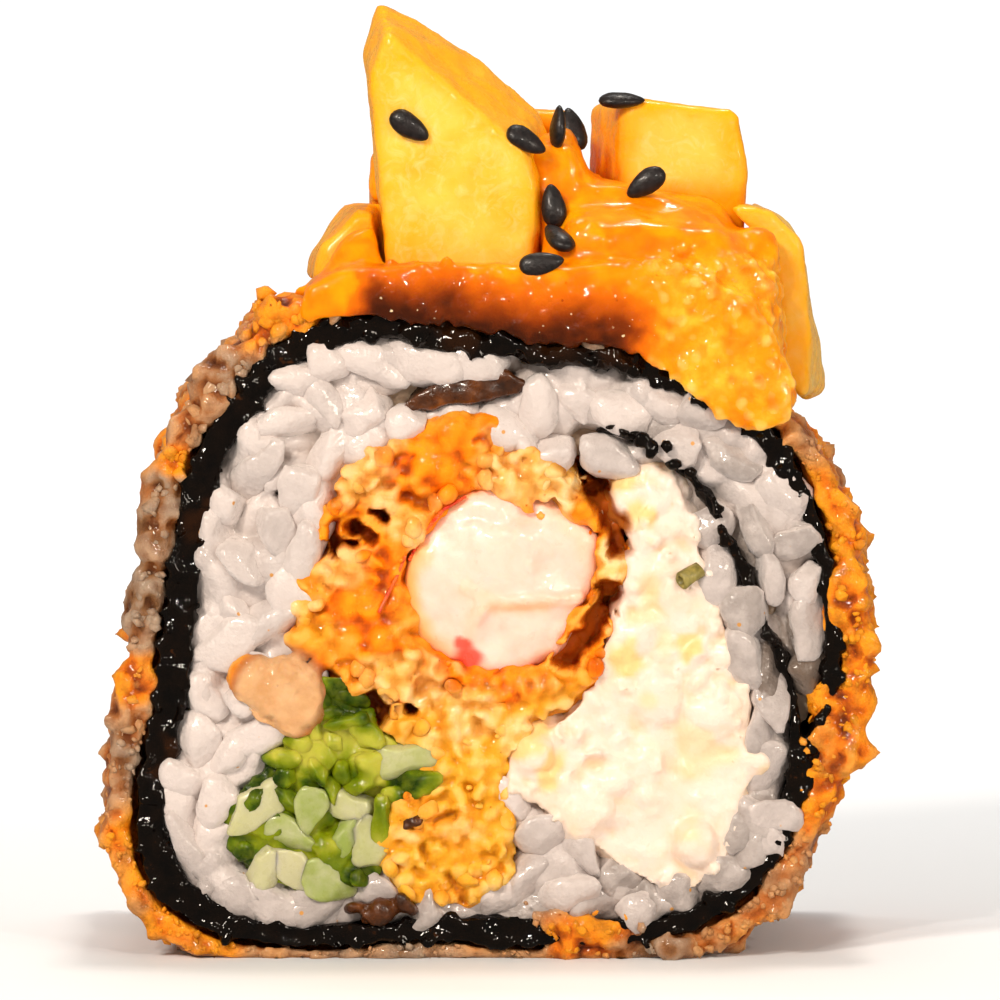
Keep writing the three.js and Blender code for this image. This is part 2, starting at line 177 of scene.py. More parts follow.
def turns(count):
    """Random rotations, one matrix each."""
    q = rng.normal(size=(count, 4))
    w, x, y, z = (q / np.linalg.norm(q, axis=1, keepdims=True)).T
    return np.stack(
        [
            np.stack([1 - 2 * (y * y + z * z), 2 * (x * y - z * w), 2 * (x * z + y * w)], 1),
            np.stack([2 * (x * y + z * w), 1 - 2 * (x * x + z * z), 2 * (y * z - x * w)], 1),
            np.stack([2 * (x * z - y * w), 2 * (y * z + x * w), 1 - 2 * (x * x + y * y)], 1),
        ],
        1,
    )


def copies(template, places, sizes, rotations):
    """Many copies of a template, each at its place (mm), with its own sizes and rotation."""
    verts, faces = template
    made = (verts * sizes[:, None, :]) @ rotations.transpose(0, 2, 1) + places[:, None, :]
    indices = faces[None] + (np.arange(len(places)) * verts.shape[-2])[:, None, None]
    return made.reshape(-1, 3), indices.reshape(-1, faces.shape[1])


def drawn(values, count):
    """A value for each of so many things: the ones given, or drawn between the two of a (low, high) pair."""
    return rng.uniform(*values, count) if isinstance(values, tuple) else values


def blobs(places, radii, level=2, squeeze=0.25, rough=0.0):
    """Rounded crumbs at the places, each a little out of round, or with rough more or less jagged."""
    radii = drawn(radii, len(places))
    sizes = radii[:, None] * (1 + squeeze * rng.uniform(-1, 1, (len(places), 3)))
    verts, faces = copies(BALL[level], places, sizes, turns(len(places)))
    if rough:
        owner = np.repeat(np.arange(len(places)), len(BALL[level][0]))
        verts += (verts - places[owner]) * (rough * noise(verts, 0.55, 3))[:, None]
    return verts, faces


def joined(parts):
    """Several (corners, faces) as one."""
    verts, faces, start = [], [], 0
    for v, f in parts:
        verts.append(v)
        faces.append(f + start)
        start += len(v)
    return np.concatenate(verts), np.concatenate(faces)


def cad(node):
    """A CAD node's corners in drawing mm and its triangles."""
    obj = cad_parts[node]
    return points_of(obj) - SHIFT, triangles_of(obj)


def surface_points(verts, faces, count, keep=None):
    """Random points over triangles, with the triangles' normals. keep(middles, normals) picks triangles."""
    a, b, c = (verts[faces[:, k]] for k in range(3))
    cross = np.cross(b - a, c - a)
    area = np.linalg.norm(cross, axis=1) + 1e-12
    normal = cross / area[:, None]
    if keep is not None:
        area = area * keep((a + b + c) / 3, normal)
    pick = rng.choice(len(faces), count, p=area / area.sum())
    u, v = rng.random((2, count, 1))
    u, v = np.where(u + v > 1, 1 - u, u), np.where(u + v > 1, 1 - v, v)
    return a[pick] + u * (b - a)[pick] + v * (c - a)[pick], normal[pick]


def fused(name, parts, pitch):
    """One skin over several overlapping closed shapes (drawing mm), as even quads of the given pitch."""
    verts, faces = joined(parts)
    rough = mesh_of("rough", verts, faces)
    modifier = rough.modifiers.new("skin", "REMESH")
    modifier.mode = "VOXEL"
    modifier.voxel_size = pitch * MM
    modifier.adaptivity = 0
    graph = bpy.context.evaluated_depsgraph_get()
    mesh = bpy.data.meshes.new_from_object(rough.evaluated_get(graph))
    bpy.data.objects.remove(rough)
    mesh.name = name
    mesh.shade_smooth()
    return added(name, mesh)


def taken(obj):
    """A piece's corners in mm and its triangles, taken out of the scene."""
    part = points_of(obj), triangles_of(obj)
    bpy.data.objects.remove(obj)
    return part


def strewn(obj, *parts):
    """A piece together with loose bits strewn on it, as one mesh."""
    name = obj.name
    verts, faces = joined([taken(obj), *parts])
    return mesh_of(name, verts, faces)


def averaged(obj, values, rounds):
    """Each vertex's value averaged with its neighbours', a number of rounds over."""
    a, b = read(obj.data.edges, "vertices", 2, np.int32).T
    count = len(obj.data.vertices)
    degree = np.bincount(a, minlength=count) + np.bincount(b, minlength=count) + 1.0
    for _ in range(rounds):
        columns = [
            np.bincount(a, column[b], count) + np.bincount(b, column[a], count) + column
            for column in values.T
        ]
        values = np.stack(columns, 1) / degree[:, None]
    return values


def smooth(obj, rounds):
    """Evens out a piece's surface."""
    set_points(obj, averaged(obj, points_of(obj), rounds))


def relief(obj, rounds):
    """How far each vertex stands out from its smoothed surroundings, in mm."""
    points = points_of(obj)
    gap = points - averaged(obj, points, rounds)
    return (gap * normals_of(obj)).sum(1)


def push(obj, distance):
    """Moves each vertex along its normal. distance(points, normals) is in mm."""
    points, normals = points_of(obj), normals_of(obj)
    set_points(obj, points + normals * distance(points, normals)[:, None])


def roughen(obj, *waves, lift=0.0):
    """Moves the surface in and out by waves of noise, each a (height, size, seed) in mm, after a lift of it all."""
    push(obj, lambda p, n: sum((height * noise(p, size, seed) for height, size, seed in waves), lift))


def mark(obj, name, values):
    """Gives each vertex a value, held from 0 to 1, for the material to read."""
    layer = obj.data.attributes.new(name, "FLOAT", "POINT")
    layer.data.foreach_set("value", np.clip(values, 0, 1).astype(np.float32))


def sink(obj, depth):
    """Moves a piece's vertices away from the nearer cut face, each by its depth in mm. Gives their new places."""
    points = points_of(obj)
    points[:, 1] -= np.sign(points[:, 1]) * depth
    set_points(obj, points)
    return points


def pressed(points, start, reach):
    """Presses back what lies further than start along the roll, so that it stays within reach (mm) of there."""
    beyond = np.maximum(np.abs(points[:, 1]) - start, 0)
    points[:, 1] -= np.sign(points[:, 1]) * (beyond - reach * (1 - np.exp(-beyond / reach)))


def placed(obj):
    """Moves a piece from the drawing's frame to the row frame, above the floor and close to the cut faces."""
    points = points_of(obj)
    points[:, 2] = np.maximum(points[:, 2], 0.01)
    pressed(points, BACK + 0.8, 0.95)
    set_points(obj, points + SHIFT)


def thinned(obj, reach=0.0, hidden=False):
    """Keeps only a small share of the faces that don't show: up to reach (mm) from the middle, and where hidden."""
    left = 0.08
    hidden = hidden | (np.abs(points_of(obj)[:, 1]) < reach)
    group = obj.vertex_groups.new(name="hidden")
    group.add(np.flatnonzero(hidden).tolist(), 1.0, "REPLACE")
    modifier = obj.modifiers.new("thin", "DECIMATE")
    modifier.ratio = 1 - (1 - left) * float(np.mean(hidden))
    modifier.vertex_group = "hidden"
    graph = bpy.context.evaluated_depsgraph_get()
    mesh = bpy.data.meshes.new_from_object(obj.evaluated_get(graph))
    obj.modifiers.clear()
    obj.vertex_groups.clear()
    old, obj.data = obj.data, mesh
    bpy.data.meshes.remove(old)
    mesh.shade_smooth()


def near(points, places):
    """1 at the middle of each round place (x, z, radius), as seen along the roll, falling to 0 at its edge."""
    found = np.zeros(len(points))
    for x, z, radius in places:
        away = np.hypot(points[:, 0] - x, points[:, 2] - z) / radius
        found = np.maximum(found, 1 - between(away, 0.45, 1.0))
    return found


def ragged(points, amount=0.8, size=1.7):
    """Points shifted by noise, which gives what is worked out from them an uneven edge."""
    return points + amount * np.stack([noise(points, size, 90 + k) for k in range(3)], 1)


def closing(points):
    """0 at the cut faces and 1 a little behind them, where neighbours swell to meet and let no light through."""
    return between(BACK - 1 - np.abs(points[:, 1]), 0, 1.5)


def from_line(points, line):
    """The distance of each point from a line through (x, z) places, seen along the roll."""
    p = points[:, [0, 2]]
    distance = np.full(len(p), 99.0)
    for a, b in zip(np.array(line[:-1]), np.array(line[1:])):
        share = np.clip(((p - a) @ (b - a)) / ((b - a) @ (b - a)), 0, 1)
        distance = np.minimum(distance, np.linalg.norm(p - a - share[:, None] * (b - a), axis=1))
    return distance


# ---- Materials ----


class Paint:
    """A procedural material on one Principled shader. Sizes and depths are in mm.

    coat is the clear coat's weight and roughness, and flesh the weight, scale and radius of light under the surface.
    """

    def __init__(self, name, coat=(0.0, 0.03), specular=0.5, flesh=(0.0, 50, (1.0, 0.2, 0.1)), **values):
        self.material = bpy.data.materials.new(name)
        self.material.use_nodes = True
        self.tree = self.material.node_tree
        self.shader = self.tree.nodes["Principled BSDF"]
        self.place = self.tree.nodes.new("ShaderNodeTexCoord").outputs["Object"]
        weight, scale, radius = flesh
        values |= {
            "Coat Weight": coat[0], "Coat Roughness": coat[1], "Specular IOR Level": specular,
            "Subsurface Weight": weight, "Subsurface Scale": scale * MM, "Subsurface Radius": radius,
        }
        for key, value in values.items():
            self.shader.inputs[key].default_value = value

    def node(self, kind, *values, **settings):
        """A node with its first inputs given in order, and others by (name, value)."""
        made = self.tree.nodes.new("ShaderNode" + kind)
        for key, value in settings.items():
            setattr(made, key, value)
        for place, value in enumerate(values):
            key, value = value if isinstance(value, tuple) and isinstance(value[0], str) else (place, value)
            self.plug(made.inputs[key], value)
        return made

    def plug(self, socket, value):
        """Links a socket to another one, or sets its value."""
        if isinstance(value, bpy.types.NodeSocket):
            self.tree.links.new(value, socket)
        else:
            socket.default_value = value

    def noise(self, size, detail=3.0, roughness=0.55, distortion=0.0):
        scale, rest = 1 / (size * MM), (("Detail", detail), ("Roughness", roughness), ("Distortion", distortion))
        return self.node("TexNoise", ("Vector", self.place), ("Scale", scale), *rest).outputs["Fac"]

    def cells(self, size):
        return self.node("TexVoronoi", ("Vector", self.place), ("Scale", 1 / (size * MM))).outputs["Distance"]

    def attribute(self, name):
        return self.node("Attribute", attribute_name=name).outputs["Fac"]

    def ramp(self, factor, *stops):
        """Tones or values at (position, value) stops along a factor."""
        made = self.node("ValToRGB", factor)
        elements = made.color_ramp.elements
        while len(elements) < len(stops):
            elements.new(0.5)
        for element, (position, value) in zip(elements, stops):
            element.position = position
            element.color = (*value, 1) if isinstance(value, tuple) else (value, value, value, 1)
        return made.outputs["Color"]

    def steps(self, height, lowest, low, high, highest):
        """Four tones, from the bottom of the relief to its top."""
        return self.ramp(height, (0.0, lowest), (0.3, low), (0.6, high), (1.0, highest))

    def mix(self, factor, under, over):
        made = self.node("Mix", factor, data_type="RGBA")
        for socket, value in ((made.inputs[6], under), (made.inputs[7], over)):
            self.plug(socket, (*value, 1) if isinstance(value, tuple) else value)
        return made.outputs[2]

    def where(self, name, under, over, most=1.0):
        """One tone over another where a vertex attribute says so, and at most that much of it."""
        share = self.attribute(name)
        return self.mix(self.times(share, most) if most < 1 else share, under, over)

    def patches(self, under, over, size, low, high, most=1.0, *noise):
        """Patches of one tone over another: none where the noise is under low, and most of it over high."""
        return self.mix(self.ramp(self.noise(size, *noise), (low, 0.0), (high, most)), under, over)

    def gloss(self, size, low, high):
        """A roughness between two values, in patches of the given size."""
        return self.ramp(self.noise(size), (0.3, low), (0.7, high))

    def sum(self, a, b):
        return self.node("Math", a, b).outputs[0]

    def times(self, a, b):
        return self.node("Math", a, b, operation="MULTIPLY").outputs[0]

    def bump(self, height, depth, strength=1.0, *under):
        rest = [("Normal", normal) for normal in under]
        inputs = ("Height", height), ("Distance", depth * MM), ("Strength", strength), *rest
        return self.node("Bump", *inputs).outputs["Normal"]

    def grain(self, depth, strength, size, *noise):
        """Relief finer than the mesh."""
        return self.bump(self.noise(size, *noise), depth, strength)

    def wet(self, size, depth, strength=1.0):
        """A rippled wet film over the surface, which breaks the lights up into glints."""
        self.plug(self.shader.inputs["Coat Normal"], self.grain(depth, strength, size, 1.0))

    def done(self, tone, gloss=None, normal=None):
        """The material with its tone, and with a roughness and a relief: gloss() and grain() take their values."""
        self.plug(self.shader.inputs["Base Color"], tone)
        if gloss:
            self.plug(self.shader.inputs["Roughness"], self.gloss(*gloss))
        if normal:
            self.plug(self.shader.inputs["Normal"], self.grain(*normal) if isinstance(normal, tuple) else normal)
        return self.material


def rice_paint():
    p = Paint("rice", coat=(0.5, 0.06), IOR=1.4)
    p.wet(0.9, 0.10)
    greys = (0.0, (0.62, 0.54, 0.51)), (0.5, (0.45, 0.39, 0.37)), (1.0, (0.27, 0.23, 0.21))
    # The grey sets each grain's tone: partly random, partly painted shade towards the right and the bottom.
    tone = p.ramp(p.attribute("grey"), *greys)
    tone = p.patches(tone, (0.68, 0.60, 0.57), 1.3, 0.42, 0.68, 0.4)
    # Painted shade: darker and browner deep behind the cut face.
    tone = p.where("deep", tone, (0.46, 0.33, 0.23), 0.6)
    # Painted light: paler rims where the grain turns side-on.
    tone = p.where("ridge", tone, (0.78, 0.71, 0.68), 0.75)
    # Painted shade: near black where the turns meet.
    tone = p.where("dark", tone, (0.10, 0.06, 0.035))
    speck = p.ramp(p.cells(2.3), (0.0, 1.0), (0.055, 1.0), (0.075, 0.0))
    tone = p.mix(speck, tone, (0.60, 0.28, 0.07))
    return p.done(tone, (0.9, 0.2, 0.42), (0.2, 0.8, 0.6, 4))


def core_paint():
    p = Paint("rice_core", Roughness=0.4, flesh=(0.4, 0.8, (1, 0.8, 0.6)))
    # Darker and browner than the grains: painted shade for the core, which shows only deep between them.
    tone = p.ramp(p.noise(1.5), (0.3, (0.52, 0.35, 0.22)), (0.7, (0.74, 0.55, 0.40)))
    return p.done(tone, None, (0.1, 0.6, 0.6, 4))


def green_rice_paint():
    p = Paint("rice_with_onion", coat=(0.3, 0.1), IOR=1.4, flesh=(0.6, 1.1, (0.9, 1, 0.4)))
    greens = (0.0, (0.56, 0.52, 0.33)), (0.5, (0.40, 0.42, 0.16)), (1.0, (0.24, 0.32, 0.05))
    tone = p.patches(p.ramp(p.attribute("green"), *greens), (0.58, 0.56, 0.38), 1.3, 0.4, 0.75, 0.5)
    return p.done(tone, (0.9, 0.18, 0.4), (0.07, 0.6, 0.45, 4))


def nori_paint():
    p = Paint("nori", coat=(0.45, 0.025), specular=0.0)
    p.wet(0.7, 0.14)
    blacks = (0.35, (0.0016, 0.0011, 0.0010)), (0.66, (0.005, 0.0025, 0.0015)), (0.85, (0.09, 0.025, 0.004))
    tone = p.ramp(p.noise(1.2, 4), *blacks)
    tone = p.where("soaked", tone, (0.03, 0.009, 0.002), 0.5)
    return p.done(tone, (0.5, 0.16, 0.5), (0.30, 0.9, 0.7, 3, 0.6, 0.8))


def fold_paint():
    p = Paint("nori_fold", coat=(0.4, 0.1), specular=0.3)
    browns = (0.3, (0.020, 0.006, 0.002)), (0.6, (0.10, 0.026, 0.003)), (0.85, (0.30, 0.09, 0.012))
    tone = p.ramp(p.noise(1.3, 4), *browns)
    return p.done(tone, (0.6, 0.2, 0.5), (0.2, 0.8, 0.5, 4))


def coat_paint():
    p = Paint("crumb_coat", coat=(0.35, 0.05), specular=0.1, flesh=(0.15, 0.4, (1, 0.55, 0.3)))
    p.wet(0.5, 0.12)
    # Along the relief: painted shade, dark, low in the crevices, and painted light, paler, on the tops of the crumbs.
    height = p.attribute("relief")
    brown = p.steps(height, (0.030, 0.006, 0.001), (0.10, 0.035, 0.010), (0.25, 0.12, 0.05), (0.38, 0.27, 0.19))
    orange = p.steps(height, (0.08, 0.010, 0.001), (0.40, 0.065, 0.001), (0.76, 0.17, 0.002), (0.90, 0.32, 0.012))
    tone = p.where("orange", brown, orange)
    tone = p.patches(tone, (0.14, 0.034, 0.004), 1.1, 0.45, 0.75, 0.6, 4)
    light = p.where("orange", (0.52, 0.36, 0.24), (0.86, 0.44, 0.10))
    tone = p.patches(tone, light, 0.9, 0.6, 0.85, 0.45)
    return p.done(tone, (0.6, 0.22, 0.55), (0.22, 0.9, 0.32, 4, 0.65))


def batter_paint():
    p = Paint("tempura_batter", coat=(0.32, 0.05), specular=0.05, flesh=(0.2, 0.5, (1, 0.4, 0.1)))
    p.wet(0.5, 0.12)
    # Along the relief: painted shade, dark, low in the crevices, and painted light, paler, on the tops of the crumbs.
    height = p.attribute("relief")
    orange = p.steps(height, (0.28, 0.030, 0.001), (0.66, 0.11, 0.001), (0.90, 0.20, 0.002), (0.96, 0.31, 0.008))
    yellow = p.steps(height, (0.58, 0.21, 0.005), (0.76, 0.34, 0.016), (0.84, 0.42, 0.040), (0.90, 0.54, 0.13))
    beige = p.ramp(height, (0.0, (0.52, 0.18, 0.02)), (0.5, (0.88, 0.50, 0.15)), (1.0, (0.95, 0.69, 0.36)))
    tone = p.where("pale", p.where("yellow", orange, yellow), beige)
    tone = p.patches(tone, (0.96, 0.45, 0.04), 0.9, 0.55, 0.8, 0.3, 4)
    tone = p.patches(tone, (0.60, 0.08, 0.002), 1.7, 0.58, 0.8, 0.55)
    tone = p.where("nut", tone, p.ramp(p.noise(1.4), (0.3, (0.58, 0.30, 0.125)), (0.7, (0.72, 0.43, 0.22))))
    # Painted shade: darker red-brown in the hollow beside the shrimp.
    tone = p.where("void", tone, (0.50, 0.11, 0.008))
    # Painted shade, near black, in the crevices, the pores and round the nut.
    tone = p.where("dark", tone, (0.20, 0.028, 0.002))
    return p.done(tone, (0.6, 0.22, 0.55), (0.14, 0.8, 0.4, 4, 0.65))


def shrimp_paint():
    p = Paint("shrimp", coat=(0.3, 0.1), Roughness=0.4, flesh=(0.5, 1.2, (1, 0.5, 0.35)))
    tone = p.patches((0.95, 0.64, 0.54), (0.93, 0.52, 0.40), 1.6, 0.4, 0.75, 0.5, 4, 0.6, 1.0)
    tone = p.where("rim", tone, (0.95, 0.45, 0.12))
    # Painted shade: a darker, warmer tone along the creases.
    tone = p.where("crease", tone, (0.90, 0.52, 0.30), 0.35)
    # Painted shade: an amber band on the shelf under the main fold.
    tone = p.where("amber", tone, (0.85, 0.36, 0.03))
    tone = p.where("red", tone, (0.80, 0.045, 0.015))
    return p.done(tone, (0.8, 0.25, 0.48), (0.08, 0.5, 0.6, 4))


def skin_paint():
    p = Paint("shrimp_skin", coat=(0.3, 0.03), Roughness=0.35, flesh=(0.3, 0.5, (1, 0.4, 0.2)))
    tone = p.ramp(p.noise(0.8), (0.35, (0.75, 0.03, 0.004)), (0.65, (0.90, 0.16, 0.01)))
    return p.done(tone, None, (0.05, 0.5, 0.3))


def cheese_paint():
    p = Paint("cream_cheese", coat=(0.15, 0.15), flesh=(0.35, 0.9, (1, 0.82, 0.62)))
    tone = p.patches((0.85, 0.69, 0.59), (0.84, 0.62, 0.42), 2.8, 0.45, 0.75, 0.6, 4)
    tone = p.where("yellow", tone, (0.93, 0.58, 0.14), 0.75)
    # Painted shade: a darker tan in the creases.
    tone = p.where("crease", tone, (0.76, 0.47, 0.18), 0.6)
    # Painted shade: dark orange-brown in the hollow beside the shrimp.
    tone = p.where("dark", tone, (0.52, 0.16, 0.02))
    return p.done(tone, (0.8, 0.3, 0.6), (0.12, 0.7, 0.5, 4, 0.6))


def herb_paint():
    p = Paint("dried_herb", coat=(0.2, 0.03), Roughness=0.45)
    tone = p.ramp(p.noise(0.7), (0.3, (0.10, 0.085, 0.010)), (0.7, (0.38, 0.30, 0.07)))
    return p.done(tone, None, (0.08, 0.7, 0.3))


def onion_paint():
    p = Paint("spring_onion", coat=(0.22, 0.06), specular=0.15, flesh=(0.35, 0.7, (0.6, 1.0, 0.2)))
    p.wet(0.7, 0.2)
    shade = p.attribute("shade")
    tone = p.steps(shade, (0.012, 0.034, 0.0005), (0.06, 0.11, 0.001), (0.19, 0.23, 0.002), (0.46, 0.44, 0.05))
    tone = p.patches(tone, (0.29, 0.34, 0.012), 0.8, 0.4, 0.75, 0.35)
    return p.done(tone, (0.7, 0.18, 0.45), (0.06, 0.6, 0.4))


def mango_paint(name, glazed):
    """The fruit, or with glazed the fruit under the orange sauce."""
    coat = 0.25 if glazed else 0.15, 0.05
    p = Paint(name, coat=coat, specular=0.15, flesh=(0.35, 1.4, (1, 0.6, 0.15)))
    tone = p.patches((0.89, 0.56, 0.08), (0.90, 0.43, 0.016), 4.5, 0.45, 0.7)
    tone = p.patches(tone, (0.94, 0.71, 0.30), 1.2, 0.48, 0.8, 0.6, 4, 0.6, 1.5)
    # The fruit's deeper orange edges, with painted shade on faces turned from the front.
    tone = p.where("rim", tone, (0.94, 0.40, 0.004))
    sauce = p.patches((0.90, 0.25, 0.0005), (0.96, 0.38, 0.002), 2.6, 0.3, 0.75)
    tone = p.where("sauce", tone, sauce)
    waves = p.bump(p.noise(3.0, 2), 0.3, 0.4, p.grain(0.12, 0.5, 0.9, 4, 0.6, 1.2))
    return p.done(tone, (1.1, 0.18, 0.4), waves)


def glaze_paint():
    p = Paint("fruit_glaze", Roughness=0.3, coat=(0.4, 0.03), specular=0.05, flesh=(0.35, 1.2, (1, 0.4, 0.08)))
    bright = p.patches((0.86, 0.20, 0.0005), (0.95, 0.36, 0.001), 2.4, 0.35, 0.75)
    amber = p.patches((0.90, 0.30, 0.003), (0.95, 0.47, 0.03), 1.8, 0.4, 0.7)
    # Paler on the tops of the bubbles: painted highlights.
    bubbles = p.mix(p.ramp(p.attribute("height"), (0.45, 0.0), (1.0, 0.42)), amber, (0.97, 0.66, 0.22))
    bubbly, dark = p.attribute("bubbly"), p.attribute("dark")
    sauce = p.ramp(
        dark, (0.15, (0.76, 0.16, 0.0005)), (0.45, (0.50, 0.085, 0.0005)), (0.75, (0.22, 0.030, 0.0005)),
        (1.0, (0.05, 0.008, 0.001)),
    )
    tone = p.mix(p.ramp(dark, (0.0, 0.0), (0.14, 1.0)), p.mix(bubbly, bright, bubbles), sauce)
    # Where it is sauce or bubbles, it is rippled, with pale specks painted on as glints.
    uneven = p.ramp(p.sum(dark, bubbly), (0.0, 0.12), (0.4, 1.0))
    p.wet(0.8, 0.14, uneven)
    blot = p.sum(p.cells(0.75), p.times(p.noise(0.35, 2), 0.7))
    painted_glints = p.times(p.ramp(blot, (0.36, 0.75), (0.44, 0.0)), p.ramp(p.noise(2.2, 2), (0.42, 0.0), (0.58, 1.0)))
    tone = p.mix(p.times(painted_glints, uneven), tone, (0.97, 0.76, 0.45))
    return p.done(tone, None, (0.15, uneven, 0.5))


def seed_paint():
    p = Paint("black_sesame", coat=(0.15, 0.15), specular=0.25)
    tone = p.ramp(p.noise(0.5), (0.3, (0.004, 0.0035, 0.004)), (0.75, (0.020, 0.014, 0.014)))
    return p.done(tone, (0.4, 0.3, 0.5), (0.06, 0.9, 0.25, 4))


def settle(obj, material, slot, *nodes):
    """Puts a piece modelled in drawing mm in its place, with its material, for the CAD nodes it stands for."""
    placed(obj)
    obj.data.materials.clear()
    obj.data.materials.append(material)
    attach(obj, "root")
    if nodes:
        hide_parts(*nodes)
    return obj


# ---- What shows at the cut faces ----

CUT_NODES = [
    "crumb_coat", "nori_sheet", "nori_fold", "rice", "shrimp", "tempura_batter", "cream_cheese", "spring_onion",
]


def cut_face_tree():
    """The CAD pieces that reach the cut faces, to cast rays at, and whose each triangle is."""
    verts, faces = joined([cad(node) for node in CUT_NODES])
    owners = np.concatenate([np.full(len(cad(node)[1]), k) for k, node in enumerate(CUT_NODES)])
    return BVHTree.FromPolygons(verts.tolist(), faces.tolist()), owners


cut_tree, cut_owner = cut_face_tree()


def shows(x, z, face=-1):
    """The CAD node that shows at a place on a cut face: face -1 is the front one, 1 the back one."""
    hit = cut_tree.ray_cast(Vector((x, 40 * face, z)), Vector((0, -face, 0)))
    return None if hit[2] is None else CUT_NODES[cut_owner[hit[2]]]


def spots(node, count, apart, margin=0.0, face=-1, tries=9000):
    """Places over a node's part of a cut face, at least so far apart and so far inside it."""
    lo, hi = np.array(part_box(node)) / MM - SHIFT
    found = np.zeros((0, 2))
    for x, z in rng.uniform((lo[0], lo[2]), (hi[0], hi[2]), (tries, 2)):
        if len(found) and (((found - (x, z)) ** 2).sum(1) < apart**2).any():
            continue
        around = [(0, 0), (margin, 0), (-margin, 0), (0, margin), (0, -margin)] if margin else [(0, 0)]
        if all(shows(x + dx, z + dz, face) == node for dx, dz in around):
            found = np.vstack([found, (x, z)])
            if len(found) == count:
                break
    return found


def beneath(places, depth, face):
    """Places (x, z) on a cut face as points that lie this deep under it, in mm: a value, one each, or (low, high)."""
    y = np.broadcast_to(face * (BACK - drawn(depth, len(places))), len(places))
    return np.stack([places[:, 0], y, places[:, 1]], 1)


# ---- Rice ----


def grain_template(level):
    """A grain of rice along X: blunt at the ends and a little bent."""
    verts, faces = BALL[level]
    along = verts[:, 0]
    blunt = np.clip(np.sqrt((1 - np.abs(along) ** 2.8) / (1 - along**2 + 1e-6)), 1, 1.3)[:, None]
    made = verts * np.concatenate([np.ones((len(verts), 1)), blunt, blunt], 1)
    made[:, 2] += 0.25 * along**2
    return made, faces


def facing(angle, tip, roll):
    """Turns X to an angle across the cut face, then tips it towards the viewer and rolls it about itself."""
    ca, sa, ct, st, cr, sr = np.cos(angle), np.sin(angle), np.cos(tip), np.sin(tip), np.cos(roll), np.sin(roll)
    across = np.array([[ca, 0, -sa], [0, 1, 0], [sa, 0, ca]])
    tipped = np.array([[ct, -st, 0], [st, ct, 0], [0, 0, 1]])
    rolled = np.array([[1, 0, 0], [0, cr, -sr], [0, sr, cr]])
    return across @ tipped @ rolled


def lie(node, x, z, half, face):
    """An angle at which something of this half-length stays in a node's part of a cut face, and how much is kept."""
    for angle in rng.uniform(0, np.pi, 7):
        dx, dz = half * np.cos(angle), half * np.sin(angle)
        if shows(x + dx, z + dz, face) == node and shows(x - dx, z - dz, face) == node:
            return angle, 1.0
    return angle, 0.62


def chipped(verts, count, cuts=7):
    """Copies of a unit shape, each planed flat in a few places."""
    made = np.repeat(verts[None], count, axis=0)
    for _ in range(cuts):
        aim = rng.normal(size=(count, 1, 3))
        aim /= np.linalg.norm(aim, axis=2, keepdims=True)
        over = (made * aim).sum(2, keepdims=True) - rng.uniform(0.6, 0.93, (count, 1, 1))
        made -= np.maximum(over, 0) * aim
    return made


def grains(node, places, depth, face, size=1.0, level=3, keep_in=True):
    """Grains of rice at places on a cut face, at depths behind it. Gives their mesh and their middles."""
    count = len(places)
    half = rng.normal((2.7, 1.6, 1.4), (0.45, 0.25, 0.2), (count, 3)) * size
    tips = rng.normal(0, 0.4, count)
    rotations = []
    for k, (x, z) in enumerate(places):
        reach = 0.85 * half[k, 0] * np.cos(tips[k])
        angle, share = lie(node, x, z, reach, face) if keep_in else (rng.uniform(0, np.pi), 1.0)
        half[k, 0] *= share
        rotations.append(facing(angle, tips[k], rng.uniform(0, 6.28)))
    centres = beneath(places, depth, face)
    shape, faces = grain_template(level)
    verts, faces = copies((chipped(shape, count), faces), centres, half, np.array(rotations))
    owner = np.repeat(np.arange(count), len(shape))
    own = verts + 9.0 * owner[:, None]
    verts += (verts - centres[owner]) * (0.14 * noise(own, 2.0, 5) + 0.07 * noise(own, 0.9, 6))[:, None]
    # The knife has pressed the grains' fronts to about one plane.
    pressed(verts, BACK, 0.8)
    return (verts, faces), centres


FOLDED = [(-5.0, 37.4), (-1.0, 38.4), (2.6, 38.6)]  # the middle of the brown fold, where no grain lies
LOOSE = np.array([[18.3, 9.4], [19.3, 8.0], [18.0, 7.0], [17.2, 8.6], [19.6, 9.6]])


